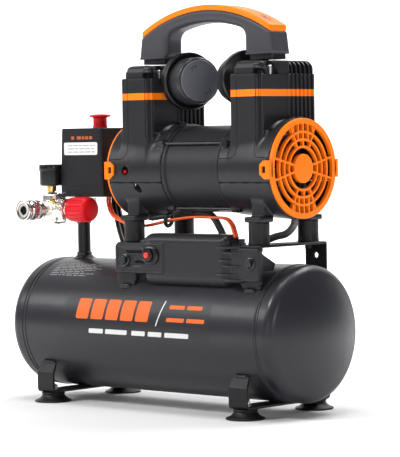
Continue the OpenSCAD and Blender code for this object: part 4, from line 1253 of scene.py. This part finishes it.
def build_handle():
    cap_low, cap_high = span("handle_cap")
    half_top, half_foot, leg_in, top = 102.0, 106.5, 62.0, cap_high[2]
    mid_x, mid_y = middle("handle_grip")[0] + 1.0, middle("handle_cap")[1]
    half_y = (cap_high[1] - cap_low[1]) / 2
    foot, arch_r, strip = 419.0, 202.0, 6.5
    arch_z = top - arch_r

    def field(x, y, z):
        ax = np.abs(x)
        side = ax - half_foot + (z - foot) * (half_foot - half_top) / 33
        run = np.sqrt(x**2 + (z - arch_z) ** 2)
        body = f_meet(side, run - arch_r + strip, 1.0)
        body = f_meet(body, foot - z, 0.8)
        body = f_meet(body, np.abs(y - mid_y) - half_y, 3.5)
        mouth = f_meet(ax - leg_in, run - 181.0, 11)
        return f_cut(body, mouth, 9)

    low_x, high_x = -half_foot - 1, half_foot + 1
    grip = from_field(field, (low_x, mid_y - half_y, foot), (high_x, mid_y + half_y, top), 1.4)
    make_piece("handle_body", grip.moved(x=mid_x), grip_plastic, ["handle_grip"], sharp=45, thin=0.5)
    lips, collars = [], []
    for side in (-1, 1):
        x0, x1 = sorted((side * (leg_in + 2.4), side * (half_foot - 0.2)))
        lip = round_rect(x0 - 0.6, x1 + 0.3, mid_y - half_y - 0.2, mid_y + half_y + 0.2, 3.0)
        lips.append(prism(lip, foot - 0.2, foot + 2.4))
        x0, x1 = sorted((side * (leg_in + 6), side * (half_foot - 3.0)))
        collar = round_rect(x0, x1, mid_y - half_y + 3, mid_y + half_y - 3, 3)
        collars.append(prism(collar, foot - 6.5, foot + 0.5))
    make_piece("handle_lips", joined(lips).moved(x=mid_x), grip_plastic, bevel=0.7)
    make_piece("handle_collars", joined(collars).moved(x=mid_x), ring_plastic, slot="grip_plastic", bevel=0.8)

    reach = math.degrees(math.asin(102.3 / arch_r))
    outer = arc(0, arch_z, arch_r, 90 + reach, 90 - reach, 49)
    reach = math.degrees(math.asin(102.3 / (arch_r - strip)))
    inner = arc(0, arch_z, arch_r - strip - 0.1, 90 - reach, 90 + reach, 49)
    strap = upright(prism((outer + inner)[::-1], -half_y + 0.8, half_y - 0.8)).moved(mid_x, mid_y, 0)
    make_piece("handle_strip", strap, orange_plastic, ["handle_cap"], bevel=1.6)
    for end, side in (("right", 1), ("left", -1)):
        lean = math.asin(84 / arch_r)
        rim = lathe([(4.2, -1), (4.2, 0.35), (4.8, 0.35), (5.0, 0.1), (5.0, -1)], 36, looped=True)
        pit = rod(4.1, -0.6, 0.12, 30)
        head = lathe([(0, 0), (2.9, 0), (2.9, 0.45), (2.4, 0.8), (0, 0.8)], 24)
        # the recess and its rim are darker orange: painted shade in the recess
        for part, shape, stretch, finish, slot in (
            ("strip_recess_rim_", rim, 1.9, orange_recess_shade, "orange_plastic"),
            ("strip_recess_", pit, 1.9, orange_recess_shade, "orange_plastic"),
            ("strip_screw_", head, 1.0, dark_steel, "steel")
        ):
            shape = Shape(shape.verts * (stretch, 1, 1), shape.faces).moved(z=arch_r)
            shape = shape.turned(side * math.degrees(lean), "Y").moved(mid_x, mid_y, arch_z)
            make_piece(part + end, shape, finish, slot=slot)


build_cowls()
build_stator()
build_grilles()
build_heads()
build_head_bolts()
build_filters()
build_handle()

# ---------------------------------------------------------------- switch, regulator and gauge

SWITCH_STICKER = (-164, -105.5, 304.5, 320)


def build_switch():
    low, high = span("switch_cover")
    base_low = span("switch_base")[0]
    rings = []
    for z, spread in ((base_low[2] + 12.5, 3.4), (high[2] - 1.5, 0.2), (high[2] - 0.4, -0.4), (high[2], -1.6)):
        outline = round_rect(low[0] - spread, high[0] + min(0.6, spread), low[1], high[1], 4.5, 7)
        rings.append(level(outline, z))
    cover = loft(rings)
    base = prism(
        round_rect(low[0] - 3.4, high[0] + 0.3, low[1] + 0.5, high[1] - 0.5, 4.2, 7), base_low[2] - 1.5,
        base_low[2] + 13
    )
    make_piece("switch_cover_shell", cover, switch_plastic, ["switch_cover"], bevel=0.9)
    make_piece("switch_tray", base, ring_plastic, ["switch_base"], "switch_plastic", bevel=0.8)

    front = low[1]
    sheet = face_plate(front, -0.35, 0.1, *SWITCH_STICKER, 2.2)
    make_piece("switch_sticker", sheet, label_white, slot="switch_plastic")
    rng = random.Random(9)
    bars = []
    for z in (315.6, 311.6, 307.6):
        x = -157.0
        while x < -110:
            length = rng.uniform(5, 12)
            bars.append(face_plate(front, -0.5, 0, x, min(x + length, -109), z, z + 1.1, 0.4, 2))
            x += length + 1.4
    make_piece("switch_sticker_lines", joined(bars), label_ink, slot="switch_plastic")
    runs = ((-151, -146), (-141, -134), (-132.6, -128), (-126.6, -121), (-119.6, -114))
    marks = [face_plate(front, -0.25, 0.1, x0, x1, 323.6, 327.6, 1.2, 4) for x0, x1 in runs]
    make_piece("switch_marks", joined(marks), mark_rust, slot="switch_plastic")

    x, y, _ = middle("switch_knob")
    bottom, top = (v[2] for v in span("switch_knob"))
    profile = [
        (0, bottom), (8.0, bottom), (8.0, 337), (9.2, 338), (9.0, 339.5), (8.6, 341), (8.5, top - 6),
        (9.0, top - 4.6), (11.0, top - 3.8), (12.8, top - 3.6), (13.4, top - 3.0), (13.5, top - 2.2),
        (13.1, top - 1.5), (12, top - 1.1), (8, top - 0.5), (3, top - 0.1), (0, top)
    ]
    make_piece(
        "switch_mushroom", lathe(profile, 56).moved(x + 1, y), red_plastic, ["switch_knob"],
        body="switch_knob_body"
    )


def build_regulator():
    low, high = span("regulator_body")
    _, y, z = middle("regulator_knob")
    x0 = low[0]

    def field(px, py, pz):
        block = f_box(px, py, pz, (x0, y - 11, low[2]), (x0 + 23, y + 11, high[2] - 1), 3.4)
        waist = f_disc(np.sqrt((px - x0 - 11.5) ** 2 + (py - y) ** 2), pz, 9.2, low[2], high[2], 1.0)
        across = f_disc(np.sqrt((px - x0 - 11) ** 2 + (pz - z) ** 2), py, 9.5, low[1], high[1], 1.2)
        run = f_disc(np.sqrt((py - y) ** 2 + (pz - z) ** 2), px, 12.6, x0 + 2, x0 + 26, 1.4)
        return f_join(f_join(f_join(block, waist, 2), across, 2.5), run, 2)

    body = from_field(field, (x0, low[1], low[2]), (x0 + 26, high[1], high[2]), 0.9)
    make_piece("regulator_casting", body, nickel, ["regulator_body"], sharp=50, thin=0.5)
    nut = along(hexagon(26, x0 + 25, x0 + 35, 1.6), "X").moved(0, y, z)
    neck = [
        (0, x0 + 34), (11.4, x0 + 34), (11.8, x0 + 34.6), (11.8, x0 + 36.4), (9.5, x0 + 37), (9.5, high[0]),
        (0, high[0])
    ]
    neck = along(lathe(neck, 48), "X").moved(0, y, z)
    make_piece("regulator_nut", nut, nickel, bevel=0.3)
    make_piece("regulator_neck", neck, nickel)

    start, end = high[0] - 7, span("regulator_knob")[1][0]

    def flutes(turn, r, h):
        if r < 15.3:
            return 0 * turn
        return -1.5 * np.maximum(0, np.cos(turn * 17)) ** 1.5

    profile = [
        (9.7, start + 1), (14.2, start), (14.9, start + 0.6), (14.9, start + 3.4), (14.3, start + 4.0),
        (14.4, start + 4.4), (15.5, start + 5.2), (15.75, start + 6.5), (15.75, end - 6), (15.5, end - 4.4),
        (14.9, end - 3.2), (13.9, end - 1.6), (12.6, end - 0.6), (11.0, end), (0, end + 0.1), (0, start + 12),
        (9.7, start + 12)
    ]
    knob = along(lathe(profile, 180, looped=True, ripple=flutes), "X").moved(0, y, z)
    make_piece("pressure_knob", knob, red_plastic, ["regulator_knob"], body="regulator_knob_body", sharp=60)

    c_low, c_high = span("coupler_sleeve")
    b_high = span("coupler_body")[1]
    x = (c_low[0] + c_high[0]) / 2
    m, e = c_low[1], c_high[1]
    hex_part = along(hexagon(17, b_high[1] - 10, b_high[1], 1.2), "Y").moved(x, 0, z)
    inner = [
        (5.6, m + 1.2), (8.4, m + 1.2), (8.95, m + 1.8), (8.95, b_high[1] - 9), (3, b_high[1] - 9),
        (3, m + 20), (5.6, m + 19)
    ]
    inner = along(lathe(inner, 48, looped=True), "Y").moved(x, 0, z)
    # a near-black disc down the coupler's throat: painted shade in its mouth
    plug = along(rod(5.7, m + 3, m + 10, 32), "Y").moved(x, 0, z)
    make_piece("coupler_hexagon", hex_part, nickel, ["coupler_body"], bevel=0.3)
    make_piece("coupler_throat", inner, nickel)
    make_piece("coupler_valve_face_shade", plug, seam_and_shade_dark, slot="nickel")

    def knurl(turn, r, h):
        if not (m + 9.4 < h < e - 5):
            return 0 * turn
        return 0.45 * np.abs(np.sin(turn * 20)) - 0.3

    sleeve = lathe(
        [
            (9.1, m + 0.4), (10.6, m), (12.2, m), (13, m + 0.8), (13, m + 3.8), (12.2, m + 4.6),
            (11.3, m + 5.2), (11.3, m + 8.0), (12.3, m + 8.6), (12.5, m + 9.5), (12.5, e - 11),
            (11.4, e - 10.6), (11.4, e - 9.4), (12.5, e - 9), (12.5, e - 5.2), (11.5, e - 4.4), (11.5, e - 3),
            (12.2, e - 2.4), (12.2, e - 0.8), (11.4, e), (9.1, e)
        ],
        160, looped=True, ripple=knurl
    )
    make_piece(
        "coupler_collar", along(sleeve, "Y").moved(x, 0, z), nickel_dark, ["coupler_sleeve"], "nickel",
        body="coupler_sleeve_body", sharp=60
    )
    band = lathe([(10.8, e - 10.7), (11.9, e - 10.7), (11.9, e - 9.3), (10.8, e - 9.3)], 80, looped=True)
    make_piece(
        "coupler_band", along(band, "Y").moved(x, 0, z), red_plastic, slot="nickel", body="coupler_sleeve_body"
    )


def build_gauge():
    low, high = span("gauge_case")
    x, y, _ = middle("gauge_case") - (1.2, 0, 0)
    z0, z1 = low[2] - 1.6, high[2]
    case = lathe(
        [
            (0, z0), (13, z0), (14.2, z0 + 1.0), (14.5, z0 + 3), (14.7, z1 - 8), (15.2, z1 - 7.4),
            (15.4, z1 - 6.8), (15.4, z1 - 1.2), (14.9, z1 - 0.3), (14.3, z1), (13.2, z1 - 0.2), (12.5, z1 - 1),
            (12.5, z1 - 6.2), (0, z1 - 6.2)
        ],
        80
    )
    make_piece("gauge_cup", case.moved(x, y), gauge_plastic, ["gauge_case"])
    dial = rod(12.3, z1 - 6.3, z1 - 5.9, 60)
    make_piece("gauge_dial", dial.moved(x, y), dial_white, slot="gauge_plastic")
    ticks = []
    for i in range(28):
        tick = slab(10.4 if i % 3 else 9.4, 11.7, -0.16, 0.16, z1 - 6.0, z1 - 5.75)
        ticks.append(tick.turned(225 - i * 10, "Z"))
    make_piece("gauge_ticks", joined(ticks).moved(x, y), gauge_plastic)
    nut = hexagon(11, z0 - 7, z0 + 0.2, 0.8) + rod(4.2, z0 - 10, z0 - 6.6, 24)
    make_piece("gauge_nipple", nut.moved(x, y), brass, ["brass_fittings"], bevel=0.2)
    r_low = span("regulator_body")[0]
    side_plug = along(hexagon(10, -3.5, 0.5, 0.7), "X").moved(r_low[0], y, 237)
    front_plug = [(0, -44), (3.0, -44), (3.3, -43.6), (3.3, -40.8), (0, -40.8)]
    front_plug = along(lathe(front_plug, 28), "Y").moved(-174.5, 0, 248)
    make_piece("regulator_side_plug", side_plug, brass, bevel=0.2)
    make_piece("regulator_front_plug", front_plug, brass)


# ---------------------------------------------------------------- capacitor box


def build_capacitor_box():
    low, high = span("capacitor_box")
    front = low[1]
    body_front = front + 2
    left, right = low[0] + 5.5, high[0] + 4.5

    def field(x, y, z):
        body = f_box(x, y, z, (4, body_front, 151), (139, -30, 211), 10)
        body = np.maximum(body, y + 44)
        shoulder = f_box(x, y, z, (-4, body_front + 1, 170), (20, -44, 204), 5)
        body = f_join(body, shoulder, 6)
        panel = f_box(x, y, z, (left, front, 163.5), (39.5, front + 9, 199.7), 2.0)
        corner = (-x + left + 4.5 + z - 199.7) / 1.414
        panel = f_meet(panel, corner, 1.0)
        low_corner = (-x + left + 2.5 + 163.5 - z) / 1.414
        panel = f_meet(panel, low_corner, 1.0)
        dish = f_box(x, y, z, (left + 3.5, front - 3, 170.5), (7, front + 0.9, 196), 3)
        panel = f_cut(panel, dish, 0.8)
        ear = f_box(x, y, z, (146, front, 158.5), (right, front + 9, 196.5), 2.0)
        web = f_box(x, y, z, (130, front + 3.5, 156), (160, front + 12, 192), 2.0)
        body = f_join(body, web, 1.5)
        out = f_join(f_join(body, panel, 1.5), ear, 3.0)
        slots = f_box(x, y, z, (-22, front - 4, 187.6), (6, front + 2.4, 190.8), 1.4)
        slots = f_join(slots, f_box(x, y, z, (-8, front - 4, 175.4), (10, front + 2.4, 178.6), 1.4))
        slots = f_join(slots, f_box(x, y, z, (-26, front - 4, 165.8), (34, front + 1.1, 167.8), 0.9))
        return f_cut(out, slots, 0.4)

    box = from_field(field, (left, front, 151), (right, -44, 211), 0.9)
    make_piece("capacitor_case", box, box_plastic, ["capacitor_box"], sharp=42, thin=0.55)
    ribs = []
    rib_runs = ((196.6, 122, 160), (190.6, 132, 166), (181.6, 124, 150), (175.4, 132, 163))
    for z, x0, x1 in rib_runs + ((165.4, 122, 160), (159.6, 134, 166)):
        peak = front - 3.2
        side = [(x0, body_front + 0.4), (x0 + 13, peak), (x1 - 6, peak), (x1, front + 1), (x1, body_front + 5)]
        ribs.append(prism(side, z - 1.2, z + 1.2))
    # near-black bars set into the vent slots: painted shade inside them
    slots = ((-21, 5, 188.0, 190.4), (-7, 9, 175.8, 178.2))
    bars = [face_plate(front + 0.4, 0, 0.5, *slot, 1.1, 4) for slot in slots]
    make_piece("capacitor_case_slot_shade", joined(bars), seam_and_shade_dark, slot="box_plastic")
    make_piece("capacitor_case_ribs", joined(ribs), box_plastic, bevel=0.5)

    b_low, b_high = span("reset_button")
    x, _, z = middle("reset_button") + (6, 0, -0.6)
    stadium = arc(x + 6.5, z, 10.6, -90, 90, 18) + arc(x + 1.5, z, 10.6, 90, 270, 18)
    hollow = arc(x + 6.0, z, 8.2, -90, 90, 18) + arc(x + 1.0, z, 8.2, 90, 270, 18)
    rings = [level(hollow, 0.6), level(hollow, -2.6), level(stadium, -1.8), level(stadium, 0.6)]
    shape = upright(loft(rings, looped=True)).moved(y=front)
    make_piece("breaker_collar", shape, gauge_plastic, bevel=0.3)
    base = lathe(
        [
            (0, front + 5), (4.5, front + 5), (4.5, front), (7.4, front), (7.6, front - 0.4),
            (7.6, front - 2.2), (7, front - 2.9), (4.3, front - 3), (4.0, front - 1.2), (0, front - 1.2)
        ][::-1],
        48
    )
    make_piece("breaker_ring", along(base, "Y").moved(x, 0, z), gauge_plastic, ["breaker"])
    tip = b_low[1]
    button = lathe(
        [(0, tip), (2.4, tip + 0.1), (3.1, tip + 0.5), (3.5, tip + 1.3), (3.5, b_high[1]), (0, b_high[1])], 36
    )
    make_piece(
        "breaker_button", along(button, "Y").moved(x, 0, z), button_red, ["reset_button"], "red_plastic",
        body="reset_button_body"
    )

    p_high = span("box_bolts")[1]
    for name, bx in (("left", MOTOR_X - 99.5), ("right", MOTOR_X + 99.5)):
        washer = lathe(
            [
                (0, front + 1), (7.2, front + 1), (7.5, front + 0.6), (7.4, front - 0.6), (6.6, front - 1.2),
                (0, front - 1.2)
            ][::-1],
            40
        )
        bolt = joined([along(washer, "Y"), along(hexagon(10, front - 5.6, front - 1.0, 1.2), "Y")])
        stem = along(rod(3, front, p_high[1], 20), "Y")
        make_piece(
            "box_bolt_" + name, (bolt + stem).moved(bx + 7.5, 0, 179.2), bolt_black, ["box_bolts"], "zinc",
            bevel=0.25
        )


# ---------------------------------------------------------------- wires and hoses

WIRE = [
    (-113, -6, 253.4), (-111, -8, 243), (-100, -11, 229), (-70, -17, 220), (-30, -27, 218), (10, -26, 225),
    (45, -24, 229), (80, -24, 229), (102, -28, 228), (118, -36, 222), (130, -45, 214), (137, -50, 207)
]
CABLE = [
    (-122, 14, 253.4), (-120, 12, 240), (-108, 4, 226), (-90, -10, 212), (-62, -32, 198), (-48, -40, 190.5),
    (-37, -43, 188), (-27, -44.5, 187.5), (-16, -46.5, 188.3), (-1, -51.5, 189)
]
RIGHT_HOSE = [
    (172, 16, 233), (171, 15, 220), (162, 12, 210), (148, 8, 206), (134, 3, 200), (122, 0.5, 192.6),
    (115.7, 0, 192.2)
]
LEFT_HOSE = [
    (-34, -16, 233), (-30, -15, 228), (-15, -8, 230), (10, 0, 232), (40, 0, 233), (58, -2, 230), (70, -2, 216),
    (79, 0, 197), (84.3, 0, 192.2)
]


def build_wiring():
    for i, shift in enumerate((0, 4.5)):
        path = catmull([(x, y + shift, z) for x, y, z in WIRE], 6)
        make_piece(f"motor_wire_{i + 1}", tube(path, 1.6, 12), orange_wire, ["motor_wires"])
    for i, shift in enumerate((0, 7.5)):
        path = catmull([(x, y + shift, z) for x, y, z in CABLE], 6)
        make_piece(f"switch_cable_{i + 1}", tube(path, 3.0, 16), black_cable, ["switch_cables"])

    def weave(turn, run):
        return 0.28 * np.sin(turn * 6 + run * 1.1) * np.sin(turn * 6 - run * 1.1)

    for name, route in (("right", RIGHT_HOSE), ("left", LEFT_HOSE)):
        path = catmull(route, 22)
        hose = tube(path, 4.15, 36, side=(0.2, 1, 0.1), relief=weave)
        make_piece("hose_" + name, hose, braid, ["discharge_hoses"], sharp=80)
        sleeve = tube([path[0] + (0, 0, 2), path[0], path[12]], 5.0, 24)
        make_piece("hose_ferrule_" + name, sleeve, zinc, slot="braid")
    turn = np.linspace(0, 2 * math.pi, 30)
    loop = [(8 + 1.5 * math.sin(a), -24 + 6.0 * math.cos(a), 225.5 + 7.2 * math.sin(a)) for a in turn]
    make_piece("wire_loop", tube(loop, 2.4, 12, side=(1, 0.1, 0)), black_cable)
    plug = lathe([(0, -1.6), (2.0, -1.6), (2.4, -1.2), (2.4, 1.6), (0, 1.6)], 28)
    plug = along(plug, "Y").moved(COWL_HOLE[0], -53.2, COWL_HOLE[1])
    # a near-black plate inside each cowl behind its round hole and red plug: painted shade in the hole
    hole_shade_backing = face_plate(-52.2, -0.3, 0.3, -115, -92, -8.5, 7.5, 3)
    for name, turn in (("left", 0), ("right", 180)):
        make_piece("cowl_plug_" + name, at_motor(plug.turned(turn, "Z")), red_plastic, slot="orange_wire")
        make_piece(
            "cowl_plug_plate_" + name, at_motor(hole_shade_backing.turned(turn, "Z")), fan_and_shade_black, slot="orange_wire"
        )

    x, y, _ = middle("safety_ring")
    low = span("safety_ring")[0][2]
    stem = rod(1.5, low, low + 17, 20)
    turn = np.linspace(0, 2 * math.pi, 40)
    path = [(7.2 + 8 * math.cos(a), 8 * math.sin(a), low + 16 - 1.2 * math.cos(a)) for a in turn]
    loop = tube(path, 1.0, 12, side=(0.1, 0.1, 1))
    make_piece(
        "safety_pull_ring", (stem + loop).moved(x, y), zinc, ["safety_ring"], "steel", body="safety_ring_body"
    )

    x, y, _ = middle("riser_pipe")
    bottom, top = (v[2] for v in span("riser_pipe"))
    pipe = lathe(
        [
            (5, bottom), (9.2, bottom), (9.4, bottom + 0.8), (9.4, bottom + 4), (8.0, bottom + 4.8),
            (7.9, bottom + 6), (7.9, top - 9), (8.8, top - 8.4), (9.0, top - 7.6), (9.0, top - 0.6), (8.4, top),
            (5, top)
        ],
        48, looped=True
    )
    make_piece("riser", pipe.moved(x, y), black_pipe, ["riser_pipe"])


def paint_cad():
    """Better finishes for the CAD nodes that are kept as they are."""
    finishes = {
        "manifold": nickel, "check_valve": bolt_black, "safety_valve": brass, "switch_works": dark_steel,
        "cord_gland": black_cable, "gauge_needle": needle_red, "gauge_lens": lens, "capacitor": ring_plastic,
        "windings": copper, "end_bells": alloy, "main_bearings": steel, "rotor": dark_steel,
        "crankshaft": dark_steel, "fans": fan_and_shade_black, "rod_left": alloy, "rod_right": alloy, "cylinders": alloy,
        "valve_plates": alloy, "handle_screws": dark_steel
    }
    for name, finish in finishes.items():
        for place in nodes[name].material_slots:
            place.material = finish


build_switch()
build_regulator()
build_gauge()
build_capacitor_box()
build_wiring()
paint_cad()
